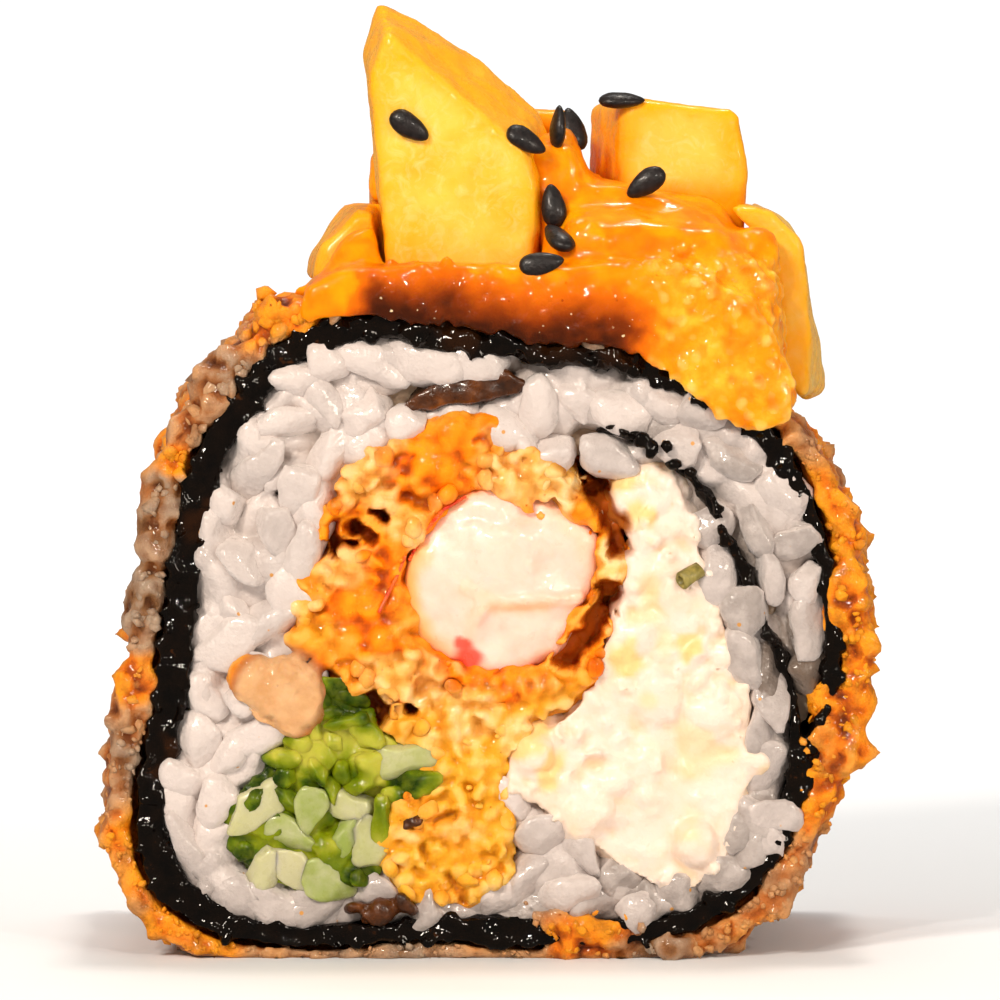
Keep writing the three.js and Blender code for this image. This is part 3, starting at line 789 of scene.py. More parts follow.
def rice():
    """Grains stuck on one another: separate ones in front, on packed ones that have run together, on a core."""
    loose, packed = [], []
    for face in (-1, 1):
        fine = 3 if face < 0 else 2
        for layer, count, apart, depth, level in (
            (loose, 300, 2.45, (0.4, 1.4), 3), (packed, 300, 1.9, (1.3, 2.1), fine), (packed, 200, 2.1, (2.4, 2.9), 2),
        ):
            places = spots("rice", count, apart, 0.35, face, 14000)
            flat = np.insert(places, 1, 0, axis=1)
            places = places[(from_line(flat, FOLDED) > 1.5) & (from_line(flat, HOLLOW_TOP) > 1.2)]
            part, centres = grains("rice", places, rng.uniform(*depth, len(places)), face, 1.0, level)
            layer.append((part, np.repeat(centres, len(BALL[level][0]), axis=0)))
    part, centres = grains("rice", LOOSE, 0.2, -1, 0.75, keep_in=False)
    loose.append((part, np.repeat(centres, len(BALL[3][0]), axis=0)))

    verts, faces = joined([part for part, _ in loose])
    front = mesh_of("rice_grains", verts, faces)
    toned(front, np.concatenate([middle for _, middle in loose]))
    verts, faces = joined([part for part, _ in packed])
    tree = BVHTree.FromPolygons(verts.tolist(), faces.tolist())
    behind = fused("rice_packed", [(verts, faces)], 0.3)
    thinned(behind, 10.0)
    # Each place takes its tone from the grain it lies on.
    middle = np.concatenate([middle for _, middle in packed])
    toned(behind, middle[[faces[tree.find_nearest(Vector(p))[2], 0] for p in points_of(behind)]])
    paint = rice_paint()
    settle(front, paint, "rice", "rice")
    settle(behind, paint, "rice")

    core = fused("rice_core", [cad("rice")], 0.8)
    push(core, lambda p, n: 0.4 * (bumps(p, 2.4, 4) - 0.8))
    points = points_of(core)
    limit = BACK - 2.2 + 0.35 * noise(points, 1.6, 8)
    points[:, 1] = np.clip(points[:, 1], -limit, limit)
    set_points(core, points)
    settle(core, core_paint(), "rice")


def toned(obj, middle):
    """Marks grains of rice with their tones, with painted shade and a painted rim of light among them. middle is the
    middle of the grain that each vertex belongs to.
    """
    roughen(obj, (0.05, 0.8, 60))
    points = points_of(obj)
    luck = lattice(np.floor(middle * 50), 61)
    # Greyer towards the right and the bottom: painted shade, as the key lamp is at the upper left. Each grain also has
    # a random grey of its own.
    right = 0.45 * between(middle[:, 0], 4, 14) + 0.45 * between(-middle[:, 2], -9.0, -4.0)
    # Painted shade, near black, at the places where the turns meet.
    shade_where_turns_meet = 0.6 * near(middle, [(20.8, 20.0, 3.2), (21.6, 15.0, 2.4), (-15.8, 38.8, 2.2)])
    mark(obj, "grey", right + shade_where_turns_meet + 0.7 * (luck - 0.4))
    mark(obj, "dark", shade_where_turns_meet * 1.3)
    # Darker and browner the deeper a grain lies behind the cut face: painted shade between the grains.
    mark(obj, "deep", between(BACK - np.abs(points[:, 1]), 0.5, 2.8))
    # Paler where the surface turns side-on to the front: a painted rim of light, as through a translucent grain.
    mark(obj, "ridge", between(-np.abs(normals_of(obj)[:, 1]), -0.8, -0.2))


# ---- Nori ----

# Where the sheet is soaked brown: places (x, z, radius) on the front cut face.
SOAKED = [
    (-2, 42.4, 2.2), (5, 41.8, 2.6), (9, 41.2, 2.0), (-18.6, 29.4, 1.6), (-17.8, 31.2, 1.0), (-20.6, 13.5, 1.6),
]


def beads(places, low, high):
    """Small balls at the places, each stretched and turned at random."""
    return copies(BALL[2], places, rng.uniform(low, high, (len(places), 3)), turns(len(places)))


def nori():
    """The seaweed sheet, crinkled at the cut faces."""
    parts = [cad("nori_sheet")]
    for face in (-1, 1):
        edge = spots("nori_sheet", 460, 0.8, 0.05, face, 16000)
        # Its inner end, which curls in on the right, stands out from the fillings.
        curl = ((edge > (2, 21)) & (edge < (16.5, 38))).all(1)
        folds = beneath(edge, rng.uniform(-0.1, 0.4, len(edge)) - 0.8 * curl, face)
        parts.append(beads(folds, 0.2, 0.7))
    # On top, under the glaze, the sheet is puckered and soaked through.
    pucker = rng.uniform((-4.5, -13.6, -0.5), (9.5, -12.7, 0.9), (150, 3))
    pucker[:, 2] += 41.4 - 0.10 * (pucker[:, 0] + 5) + 0.3 * np.sin(pucker[:, 0])
    parts.append(beads(pucker, 0.2, 0.6))
    obj = fused("nori_skin", parts, 0.26)

    def wrinkled(p, n):
        creased = between(-p[:, 0], 8, 16) * between(p[:, 2], 4, 10)
        flank = (0.12 + 0.22 * creased) * (1 - np.abs(n[:, 1]))
        return 0.22 * noise(p, 1.8, 2) + 0.09 * noise(p, 0.7, 9) - flank

    push(obj, wrinkled)
    points = points_of(obj)
    mark(obj, "soaked", near(ragged(points), SOAKED))
    thinned(obj, 11.6)
    settle(obj, nori_paint(), "nori_sheet", "nori_sheet")


def nori_fold():
    """The brown fold among the rice, and scraps of soaked nori and a brown spot elsewhere."""
    obj = fused("nori_fold_skin", [cad("nori_fold")], 0.22)
    smooth(obj, 3)
    push(obj, lambda p, n: 0.10 + 0.25 * noise(p * (1, 0.4, 1), 1.5, 50) + 0.08 * noise(p, 0.6, 51))
    thinned(obj, 10.5)
    paint = fold_paint()
    settle(obj, paint, "nori_fold", "nori_fold")
    scraps = rng.normal((-7.0, -12.9, 3.2), (0.9, 0.2, 0.5), (16, 3))
    brown = rng.normal((-4.9, -13.2, 9.4), (0.25, 0.1, 0.25), (6, 3))
    bits = [blobs(scraps, (0.35, 0.8), 2, 0.5), blobs(brown, (0.3, 0.45), 2, 0.4)]
    obj = fused("nori_scraps", bits, 0.16)
    roughen(obj, (0.10, 0.7, 53))
    settle(obj, paint, "nori_sheet")


# ---- Crumb coat ----

# Where the crust is golden rather than brown: places (x, z, radius) on the front cut face.
GOLDEN = [(-14, 43, 3.4), (-23, 7, 5.0), (-20, 2, 5.0), (7.4, 1.6, 3.4), (-23.5, 19, 3.0), (-21, 33, 2.0)]
ROLL_MIDDLE = np.array([0.0, 0.0, 21.0])


def coat():
    """The crust of fried crumbs round the roll."""
    verts, faces = cad("crumb_coat")

    def outside(centre, normal):
        out = (centre - ROLL_MIDDLE) * (1, 0, 1)
        return ((out * normal).sum(1) > 0.3 * np.linalg.norm(out, axis=1)) & (centre[:, 2] > 0.3)

    def cut_edge(centre, normal):
        return np.abs(normal[:, 1]) > 0.9

    def crumbs(count, keep, low, high, sunk, level):
        places, normals = surface_points(verts, faces, count, keep)
        radii = rng.uniform(low, high, count) * (0.7 + between(noise(places, 3.2, 6), -0.2, 0.9))
        return blobs(places + normals * (rng.uniform(*sunk, count) * radii)[:, None], radii, level, 0.5, 0.5)

    base = [
        (verts, faces),
        crumbs(1300, outside, 0.45, 0.85, (-0.9, -0.2), 2),
        crumbs(2200, outside, 0.22, 0.48, (-0.4, 0.5), 2),
        crumbs(380, cut_edge, 0.45, 0.85, (-1.0, -0.3), 2),
        crumbs(500, cut_edge, 0.25, 0.45, (-0.6, 0.2), 2),
    ]
    # A cluster of crumbs hangs over the sheet at the foot of the cut face, a lump sits at the top left, and a line
    # of crumbs lies between the coat and the sheet low on the right.
    foot = rng.normal((7.2, -12.9, 1.9), (1.7, 0.2, 0.8), (60, 3))
    lump = rng.normal((-13.6, -11.6, 43.3), (0.8, 0.6, 0.5), (30, 3))
    lower = rng.normal((22.6, -12.5, 14.0), (0.45, 0.25, 2.6), (60, 3))
    extra = np.concatenate([foot, lump, lower])
    base.append(blobs(extra, (0.3, 0.7), 2, 0.4, 0.3))
    obj = fused("crumb_crust", base, 0.345)
    loose = extra + rng.normal(0, 0.45, extra.shape)
    obj = strewn(
        obj,
        crumbs(2200, outside, 0.16, 0.42, (-0.2, 0.6), 1),
        crumbs(1200, cut_edge, 0.14, 0.38, (-0.1, 0.6), 1),
        blobs(loose, (0.15, 0.35), 1, 0.5, 0.5),
    )

    def closed(p, n):
        """Crumbly all over, and swollen towards the sheet behind the faces."""
        inward = ((p - ROLL_MIDDLE) * (1, 0, 1) * n).sum(1) < 0
        return 0.08 * noise(p, 0.6, 12) + 0.45 * inward * closing(p)

    push(obj, closed)
    points = points_of(obj)
    # The relief sets the tone, for painted shade in the crevices and painted light on the tops.
    mark(obj, "relief", between(relief(obj, 7), -0.24, 0.26))
    shifted = ragged(points, 1.2, 3.0)
    right = between(shifted[:, 0], 11, 18) * (1 - 0.5 * between(shifted[:, 2], 31, 35))
    right *= 1 - 0.6 * between(-shifted[:, 2], -13, -8)
    flank = between(12.2 - np.abs(points[:, 1]), 0, 3)
    spotted = (1 - 0.8 * flank) * (right + 0.85 * near(shifted, GOLDEN) + 0.12)
    blotched = flank * (0.5 + 0.4 * noise(points, 5, 67))
    mark(obj, "orange", spotted + blotched + 0.35 * noise(points, 3, 21))
    out = ((points - ROLL_MIDDLE) * (1, 0, 1) * normals_of(obj)).sum(1)
    thinned(obj, hidden=((out < 0) & (np.abs(points[:, 1]) < 11.6)) | (points[:, 2] < 0.25))
    settle(obj, coat_paint(), "crumb_coat", "crumb_coat")


# ---- Fillings ----

# Places (x, z, radius) on the front cut face: smooth orange lumps of batter, pale crumbs, and crevices, which are sunk
# and painted dark as shade.
LUMPS = [
    (-3.6, 34.4, 2.4), (-1.4, 34.8, 1.9), (-2.9, 32.6, 1.8), (-8.4, 23.6, 2.3), (-7.2, 21.8, 1.8), (-7.9, 29.6, 1.1),
    (2.0, 18.8, 1.5),
]
PALE = [
    (-8.4, 32.2, 2.2), (-6.4, 30.8, 1.6), (-5.3, 28.4, 1.6), (2.2, 32.8, 2.6), (4.6, 31.8, 2.2), (-9.2, 26.0, 2.1),
    (-6.0, 19.2, 2.4), (-3.6, 18.2, 2.2), (8.6, 26.6, 1.4), (-0.6, 16.4, 2.2), (2.4, 15.2, 1.6), (-12.0, 23.6, 1.2),
]
CREVICES = [
    (-9.8, 28.2, 1.2), (-7.9, 28.5, 0.9), (-11.2, 27.6, 1.1), (-10.8, 31.4, 0.9), (-6.4, 29.6, 0.6), (-7.2, 16.8, 1.1),
    (-5.0, 16.6, 0.6),
]
NUT = (-13.6, 17.8)  # the middle of a solid lump as of nut, in front of the rice
# The hollow on the right of the shrimp, above and below a bridge of crumbs.
HOLLOW_TOP = [(5.9, 34.2), (7.3, 32.4), (8.2, 30.4), (8.9, 28.6), (9.1, 27.6)]
HOLLOW_LOW = [(8.5, 24.9), (7.8, 23.4), (7.2, 21.8), (5.6, 20.2)]


def hollowed(points):
    """1 in the hollow beside the shrimp, near the front cut face, and 0 outside it."""
    shifted = ragged(points, 0.5, 1.4)
    top = 1 - between(from_line(shifted, HOLLOW_TOP), 0.55, 1.05)
    low = 1 - between(from_line(shifted, HOLLOW_LOW), 0.5, 1.0)
    return np.maximum(top, 0.9 * low) * between(-points[:, 1], 5, 8)


def clear(points):
    """Which points lie outside the crevices and the hollow."""
    return (near(ragged(points), CREVICES) < 0.01) & (hollowed(points) < 0.01)


def batter():
    """The fried batter round the shrimp: crumbs, smooth lumps, crevices, and a solid lump as of nut."""
    parts, bits = [cad("tempura_batter")], []
    for face in (-1, 1):
        for count, apart, low, high, depth in ((260, 1.3, 0.8, 1.5, (0.6, 1.3)), (520, 0.72, 0.25, 0.55, (-0.1, 0.4))):
            at_face = spots("tempura_batter", count, apart, 0.1, face, 14000)
            centres = beneath(at_face, depth, face)
            centres = centres[rng.random(len(centres)) > (0.8 * near(centres, LUMPS) if high < 1 else 0)]
            parts.append(blobs(centres, (low, high), 3 if high > 1 else 2, 0.35, 0.15))
        fine = centres + rng.normal(0, 0.3, centres.shape)
        fine = fine[clear(fine)]
        fine = fine[rng.random(len(fine)) > 0.75]
        bits.append(blobs(fine, (0.12, 0.26), 2 if face < 0 else 1, 0.4, 0.2))
    loose = beneath(spots("tempura_batter", 420, 0.9, 0.15, -1, 14000), -0.1, -1)
    free = clear(loose) & (from_line(loose, SKIN) > 0.7) & (from_line(loose, STRAND) > 0.7)
    loose = loose[free & (rng.random(len(loose)) > near(loose, [*LUMPS, (*NUT, 4.4)]))]
    loose[:, 1] += rng.uniform(-0.35, 0.3, len(loose))
    half = rng.uniform(0.35, 0.95, (len(loose), 3)) * (1, 0.9, 1)
    shapes, rotations = chipped(BALL[2][0], len(loose)), turns(len(loose))
    # Three chips in four run together with the rest, and the others lie loose on it.
    merged = len(loose) // 4 * 3
    for chosen, group in ((slice(merged), parts), (slice(merged, None), bits)):
        group.append(copies((shapes[chosen], BALL[2][1]), loose[chosen], half[chosen], rotations[chosen]))
    rounds = np.array([(x, FRONT + 0.8, z) for x, z, _ in LUMPS for _ in range(4)])
    rounds += rng.normal(0, (0.6, 0.15, 0.6), rounds.shape)
    parts.append(blobs(rounds, (1.0, 1.5), 3))
    # Cream above the shrimp, the bridge of crumbs on its right, and pale crumbs elsewhere.
    cream = rng.normal((3.4, -12.6, 32.5), (1.4, 0.25, 0.7), (26, 3))
    bridge = rng.normal((8.6, -12.5, 26.4), (0.35, 0.4, 0.5), (16, 3))
    pale = np.concatenate([rng.normal((x, -13.0, z), (0.45 * r, 0.15, 0.45 * r), (13, 3)) for x, z, r in PALE])
    parts.append(blobs(np.concatenate([cream, bridge]), (0.45, 0.9), 2, 0.4, 0.2))
    parts.append(blobs(pale, (0.25, 0.6), 2, 0.3, 0.1))
    nut = rng.normal((NUT[0], -13.1, NUT[1]), (0.8, 0.15, 0.8), (16, 3))
    parts.append(blobs(nut, (1.2, 1.8), 3, 0.2, 0.1))
    obj = fused("batter_crumbs", parts, 0.24)
    solid = len(obj.data.vertices)
    obj = strewn(obj, *bits)
    push(obj, lambda p, n: 0.07 * noise(p, 0.6, 14) + 0.35 * closing(p))
    points = points_of(obj)
    shifted = ragged(points)
    front = between(-points[:, 1], 10.6, 12.4)
    either = between(np.abs(points[:, 1]), 10.8, 12.6)
    pores = between(noise(shifted * (1, 0.2, 1), 2.2, 17), 0.35, 0.9)
    from_nut = np.hypot(points[:, 0] - NUT[0], points[:, 2] - NUT[1])
    clump = 1 - between(from_nut, 2.8, 3.6)
    crevice, void = near(shifted, CREVICES), hollowed(points)
    sunk = (front * 2.4 * crevice + either * 0.5 * pores) * (1 - clump) + 3.6 * void
    points = sink(obj, sunk + 0.55 * clump * noise(points, 1.1, 66))
    lump = near(shifted, LUMPS) * (points[:, 1] < 0)
    uneven = 0.06 * lump + 0.10 * noise(points, 1.0, 64)
    # The relief sets the tone, for painted shade in the crevices and painted light on the tops; the loose bits, which
    # stand out, get high tones.
    height = between(relief(obj, 7) + uneven, -0.24, 0.28)
    height[solid:] = np.clip(0.62 + 0.45 * noise(points[solid:], 1.2, 65) + lump[solid:], 0, 0.9)
    mark(obj, "relief", height)
    mark(obj, "nut", clump)
    low = between(-shifted[:, 2], -20.5, -15)
    pale = near(shifted, PALE) * (1 - lump) * (0.7 + 0.3 * between(points[:, 0], -3, 1))
    mark(obj, "yellow", 0.2 + 0.7 * low + 0.5 * pale - lump + 0.5 * noise(points, 2.6, 18))
    speckled = 0.4 * between(noise(points, 2.0, 63), 0.35, 0.9) * (1 - lump)
    mark(obj, "pale", 0.75 * pale + speckled)
    # Painted shade: darker red-brown in the hollow beside the shrimp.
    mark(obj, "void", void)
    # Painted shade in the crevices and pores, and in a ring round the nut.
    shade_round_nut = front * np.exp(-(((from_nut - 3.2) / 0.35) ** 2))
    mark(obj, "dark", (0.9 * crevice * front + 0.25 * pores * either) * (1 - clump) + 0.5 * shade_round_nut)
    thinned(obj, 8.5)
    settle(obj, batter_paint(), "tempura_batter", "tempura_batter")


SHRIMP_MIDDLE = (1.3, 25.4)
FOLDS = [
    [(-1.3, 25.1), (0.0, 24.3), (1.5, 24.0), (4.0, 24.1), (6.4, 24.3)],
    [(0.3, 24.0), (-0.5, 23.0), (-0.9, 21.8), (-1.0, 20.8), (-0.8, 19.4)],
    [(-4.6, 28.4), (-2.0, 29.6), (1.4, 29.4), (4.0, 30.0)],
]
SKIN = [(-4.9, 26.8), (-4.0, 28.6), (-2.6, 30.2), (-1.2, 31.0)]  # a line of orange skin along its upper left
STRAND = [(-5.2, 27.0), (-5.7, 25.8), (-6.3, 24.6), (-6.9, 23.4)]  # and a loose red thread of it on the left


def thread(line, radius, y):
    """A thin thread through (x, z) places, as overlapping beads."""
    places = np.concatenate([np.linspace(a, b, 12) for a, b in zip(line[:-1], line[1:])])
    middles = np.stack([places[:, 0], y + 0.25 * np.sin(places[:, 1]), places[:, 1]], 1)
    return blobs(middles, np.full(len(middles), radius), 2, 0.2)


def shrimp():
    """The shrimp's swollen cut face, with its creases, and loose threads of its skin."""
    # The CAD's sharp folds are filled, so that only soft creases are left.
    filled = [thread(line, 0.4, y) for line in FOLDS[:2] for y in (-12.4, 12.4)]
    obj = fused("shrimp_body", [cad("shrimp"), *filled], 0.2)
    smooth(obj, 5)
    points = points_of(obj)
    across, up = points[:, 0] - SHRIMP_MIDDLE[0], points[:, 2] - SHRIMP_MIDDLE[1]
    radius = np.hypot(across, up)
    end = between(np.abs(points[:, 1]), 10.6, 12.2)
    lines = [np.exp(-((from_line(ragged(points, 0.25, 1.2), line) / 0.5) ** 2)) for line in FOLDS]
    crease = np.clip(lines[0] + lines[1], 0, 1)
    swell = 1.3 * (1 - (radius / 6.6) ** 2) + 0.35 * noise(points, 3.4, 22) - 0.20 * crease - 0.15 * lines[2]
    sink(obj, -end * swell)
    roughen(obj, (0.14, 2.2, 61), (0.06, 0.9, 23), lift=0.18)
    points = points_of(obj)
    edge = between(radius + 0.6 * noise(points, 2.0, 24), 5.2, 6.4)
    left = between(-across + 0.6 * up, -1.0, 4.0)
    mark(obj, "rim", edge * (0.2 + 0.75 * left))
    # Painted shade: an amber band on the shelf under the main fold.
    lens = np.exp(-((from_line(points, [(0.6, 23.6), (4.2, 23.7)]) / 0.4) ** 2))
    mark(obj, "amber", 0.35 * lens * end)
    mark(obj, "red", 0.9 * near(ragged(points, 0.4), [(-0.9, 20.2, 1.2), (-1.2, 21.2, 0.8)]))
    # Painted shade: a darker, warmer tone along the creases.
    mark(obj, "crease", crease * end)
    thinned(obj, 9.5)
    settle(obj, shrimp_paint(), "shrimp", "shrimp")
    skin = joined([thread(SKIN, 0.13, -12.9), thread(STRAND, 0.12, -13.3)])
    settle(mesh_of("shrimp_skin", *skin), skin_paint(), "shrimp")


# Where the cheese is yellower: places (x, z, radius) on the front cut face.
BUTTERY = [
    (2.6, 15.6, 2.4), (5.0, 13.0, 1.8), (9.4, 32.4, 2.0), (10.4, 29.4, 1.4), (9.6, 20.6, 1.6), (13.4, 21.0, 1.3),
]


def cheese():
    """The white cheese, curdled at the cut faces."""
    parts = [cad("cream_cheese")]
    for face in (-1, 1):
        at_face = spots("cream_cheese", 60, 1.9, 0.6, face)
        centres = beneath(at_face, (1.3, 2.0), face)
        parts.append(blobs(centres, (1.2, 2.2), 3, 0.4))
        fine = spots("cream_cheese", 600, 0.65, 0.1, face, 14000)
        curd = between(-np.hypot(fine[:, 0] - 12.5, fine[:, 1] - 9.5), -7.5, -5.5)
        fine = fine[rng.random(len(fine)) > 0.75 * curd]
        centres = beneath(fine, (-0.1, 0.4), face)
        parts.append(blobs(centres, (0.25, 0.6), 2, 0.5, 0.4))
    obj = fused("cheese_mass", parts, 0.26)
    roughen(obj, (0.30, 3.0, 26), (0.10, 0.8, 27))
    points = points_of(obj)
    shifted = ragged(points)
    shade = hollowed(points)
    points = sink(obj, 3.0 * shade)
    # Painted shade: a darker tan low in the creases of the curds.
    mark(obj, "crease", between(-relief(obj, 9), 0.02, 0.3))
    mark(obj, "yellow", near(shifted, BUTTERY) + 0.5 * between(noise(points, 2.6, 28), 0.3, 0.9))
    # Painted shade: dark orange-brown in the hollow beside the shrimp.
    mark(obj, "dark", shade)
    thinned(obj, 9.0)
    settle(obj, cheese_paint(), "cream_cheese", "cream_cheese")
    herb()


def herb():
    """A snip of dried herb, curled like a piece of straw, on the cheese."""
    verts, faces = tube(14, 0.45, 0.8)
    turn = facing(np.radians(28), 0.5, 0.0) @ facing(0, np.pi / 2, 0)
    made = verts * (0.62, 1.0, 0.62) @ turn.T + (13.8, -13.6, 25.8)
    made += 0.10 * np.stack([noise(made, 0.8, 70 + k) for k in range(3)], 1)
    settle(mesh_of("herb_snip", made, faces), herb_paint(), "spring_onion")


def tube(around, wall, length):
    """A short open tube along Y, of unit radius, with a wall of the given share of it."""
    angles = np.linspace(0, 2 * np.pi, around, endpoint=False)
    inner, rim = 1 - wall, 1 - wall / 2
    profile = [(1, -1), (1, 0), (1, 1), (rim, 1.12), (inner, 1), (inner, 0), (inner, -1), (rim, -1.12)]
    verts = np.array([[r * np.cos(a), length * y, r * np.sin(a)] for a in angles for r, y in profile])
    count = len(profile)
    faces = []
    for i, j in product(range(around), range(count)):
        a, b = i * count + j, i * count + (j + 1) % count
        c, d = ((i + 1) % around) * count + (j + 1) % count, ((i + 1) % around) * count + j
        faces += [[a, d, c], [a, c, b]]
    return verts, np.array(faces)


# Darker leaf, and paler, yellower stem: places (x, z, radius) on the front cut face.
LEAFY = [
    (-15.2, 12.0, 2.6), (-16.4, 7.0, 1.8), (-8.8, 17.6, 2.6), (-5.0, 11.4, 1.5), (-8.4, 6.0, 1.4), (-11.4, 11.2, 1.3),
]
# Grains of rice among it.
GREEN_RICE = [
    (-15.2, 10.2), (-13.0, 8.4), (-11.6, 9.8), (-8.8, 10.4), (-14.4, 6.1), (-12.4, 5.9), (-10.4, 5.2), (-7.6, 7.6),
    (-5.6, 13.6), (-9.2, 8.2),
]
STEM = [(-10.8, 13.8, 2.2), (-6.8, 13.4, 2.8), (-14.1, 14.2, 1.0)]


def onion():
    """Chopped spring onion, with grains of rice among it."""
    parts, bits = [cad("spring_onion")], []
    for face in (-1, 1):
        at_face = spots("spring_onion", 70, 1.3, 0.3, face)
        centres = beneath(at_face, (0.5, 1.5), face)
        parts.append(blobs(centres, (0.6, 1.3), 3, 0.5, 0.3))
        # Chopped leaf and stalk.
        where = spots("spring_onion", 70, 1.3, 0.2, face)
        if face < 0:
            where = where[near(np.insert(where, 1, 0, axis=1), [(x, z, 2.6) for x, z in GREEN_RICE]) < 0.5]
        centres = beneath(where, (-0.4, 0.4), face)
        size = rng.uniform((0.8, 0.45, 0.55), (2.1, 0.9, 1.2), (len(where), 3))
        rotations = np.array([facing(a, t, r) for a, t, r in rng.normal(0, (3, 0.4, 0.6), (len(where), 3))])
        bits.append(copies((chipped(BALL[3][0], len(where)), BALL[3][1]), centres, size, rotations))
    leaf = rng.normal((-8.9, -12.4, 17.6), (0.35, 0.3, 1.2), (22, 3))
    parts.append(blobs(leaf, (0.35, 0.7), 2, 0.4, 0.2))
    obj = fused("onion_bits", parts, 0.27)
    points = points_of(obj)
    hollow = between(noise(points * (1, 0.2, 1), 2.0, 29), 0.1, 0.8)
    points = sink(obj, 1.2 * hollow * between(np.abs(points[:, 1]), 11, 12.4))
    thinned(obj, 9.0)
    obj = strewn(obj, *bits)
    roughen(obj, (0.2, 1.3, 62), (0.06, 0.6, 31))
    points = points_of(obj)
    shifted = ragged(points, 0.5, 1.2)
    tone = 0.56 - 0.62 * near(shifted, LEAFY) + 0.45 * near(shifted, STEM) + 0.4 * noise(points, 1.5, 32)
    # Leaf, stem and random tone, made darker the deeper it lies behind the cut face as painted shade.
    sunk = between(BACK - np.abs(points[:, 1]), 0.6, 2.0)
    mark(obj, "shade", tone - 0.3 * sunk)
    settle(obj, onion_paint(), "spring_onion", "spring_onion")

    where = np.array(GREEN_RICE)
    part, centres = grains("spring_onion", where, rng.uniform(-0.1, 0.3, len(where)), -1, 0.85, 4, keep_in=False)
    obj = mesh_of("onion_rice", *part)
    luck = np.repeat(rng.random(len(where)), len(BALL[4][0]))
    mark(obj, "green", 0.1 + 0.8 * luck)
    settle(obj, green_rice_paint(), "rice")


# ---- Mango, glaze and seeds ----

# How much of the orange sauce lies over each chunk.
SAUCED = {
    "mango_wedge": 0.0, "mango_cube": 0.0, "mango_side": 0.05, "mango_left": 0.3, "mango_back": 0.85,
}


def mango(node, sauced):
    """One chunk of mango. sauced is how much of the orange sauce lies over it."""
    obj = fused(node + "_flesh", [cad(node)], 0.3)
    smooth(obj, 2)
    roughen(obj, (0.13, 3.0, 34), (0.05, 1.0, 35))
    points, normals = points_of(obj), normals_of(obj)
    # Deeper orange at the edges, the fruit's own, and on faces turned from the front, as painted shade.
    edge = between(relief(obj, 30), 0.03, 0.30)
    side = between(1 + normals[:, 1], 0.22, 0.65) * (0.3 if node == "mango_side" else 1.0)
    mark(obj, "rim", np.maximum(0.75 * edge, side) + 0.25 * noise(points, 2.6, 36))
    low = between(-points[:, 2], -52.5, -50.5) * (points[:, 0] > 6) if node == "mango_cube" else 0
    mark(obj, "sauce", sauced + low + 0.45 * noise(points, 2.6, 37) * (sauced > 0.1))
    settle(obj, GLAZED if sauced else MANGO, "glazed_mango" if sauced else "mango", node)
    return obj


def glaze():
    """The fruit glaze over the top, with the glazed chunk in front: bubbly on the right, dark at its front edge."""
    verts, faces = cad("mango_slice")
    middle = verts.mean(0)
    cover = (verts - middle) * 1.07 + middle, faces
    # Glaze gathers where the chunks meet.
    goo = rng.uniform((3.4, -8.0, 48.5), (6.6, -3.5, 53.8), (60, 3))
    gap = rng.uniform((17.0, -9.0, 44.0), (19.0, -5.5, 48.5), (30, 3))
    gathered = blobs(np.concatenate([goo, gap]), (0.7, 1.4), 3)
    base = fused("glaze_base", [cad("fruit_glaze"), cover, gathered], 0.32)
    smooth(base, 8)
    roughen(base, (0.28, 3.6, 40), lift=0.08)
    points = points_of(base)
    points[:, 2] -= 0.8 * between(points[:, 0], 5.6, 7.6) * np.maximum(points[:, 2] - 51.6, 0)
    set_points(base, points)
    verts, faces = taken(base)

    def rough(centre, normal):
        right = between(centre[:, 0], 9, 12) * between(-centre[:, 2], -48, -45.5)
        foot = between(-centre[:, 2] - 0.1 * centre[:, 0], -46.6, -44.0) * between(centre[:, 0], -7, -5)
        return (centre[:, 1] < -8) * (0.01 + np.maximum(right, 2 * foot)) * (normal[:, 1] < 0.4)

    places, normals = surface_points(verts, faces, 2200, rough)
    radii = 0.15 + 0.42 * rng.random(len(places)) ** 2
    places = places + normals * (rng.uniform(-0.5, 0.3, len(places)) * radii)[:, None]
    obj = fused("glaze_skin", [(verts, faces), blobs(places, radii)], 0.24)
    roughen(obj, (0.05, 0.8, 41))
    points = points_of(obj)
    # The height paints highlights on the tops of the bubbles.
    height = between(relief(obj, 8), -0.08, 0.2)
    shifted = ragged(points, 0.7, 1.5)
    zone = between(shifted[:, 0], 9.5, 12.5) * between(-shifted[:, 2], -48, -45.5)
    mark(obj, "bubbly", zone)
    mark(obj, "height", height)
    even = ragged(points, 0.5, 3.0)
    edge = even[:, 2] + 0.14 * even[:, 0]
    front = between(-points[:, 1], 10.5, 12.5)
    front *= between(-shifted[:, 0], -12.0, -8.5) * between(shifted[:, 0], -9.5, -6.5)
    mark(obj, "dark", front * between(-edge, -46.8, -42.3) + 0.10 * noise(points, 0.9, 42))
    under = (normals_of(obj)[:, 2] < -0.5) & (points[:, 1] > -11.5)
    thinned(obj, hidden=under)
    settle(obj, glaze_paint(), "fruit_glaze", "fruit_glaze", "mango_slice")
    return obj


def seed_template():
    """A sesame seed along X, narrower towards its tip."""
    verts, faces = BALL[3]
    taper = (1 - 0.28 * verts[:, 0])[:, None]
    return verts * np.concatenate([np.ones((len(verts), 1)), taper, taper], 1), faces


# Where each black sesame seed lies, as seen from the front, and its turn in degrees (its tip points there). Most
# lie turned to the front; where a direction is given, the seed's flat side looks that way.
SEEDS = [
    (-4.9, 55.8, -33, None), (2.8, 54.8, -28, None), (5.3, 55.9, 92, (-1, -0.4, 0.1)), (6.7, 55.6, 97, None),
    (9.4, 57.7, 5, (0, -0.3, 1)), (10.9, 52.1, 215, None), (4.7, 50.5, 98, None), (5.0, 48.1, 100, (0.1, -0.5, 0.85)),
    (3.9, 46.4, 8, None),
]


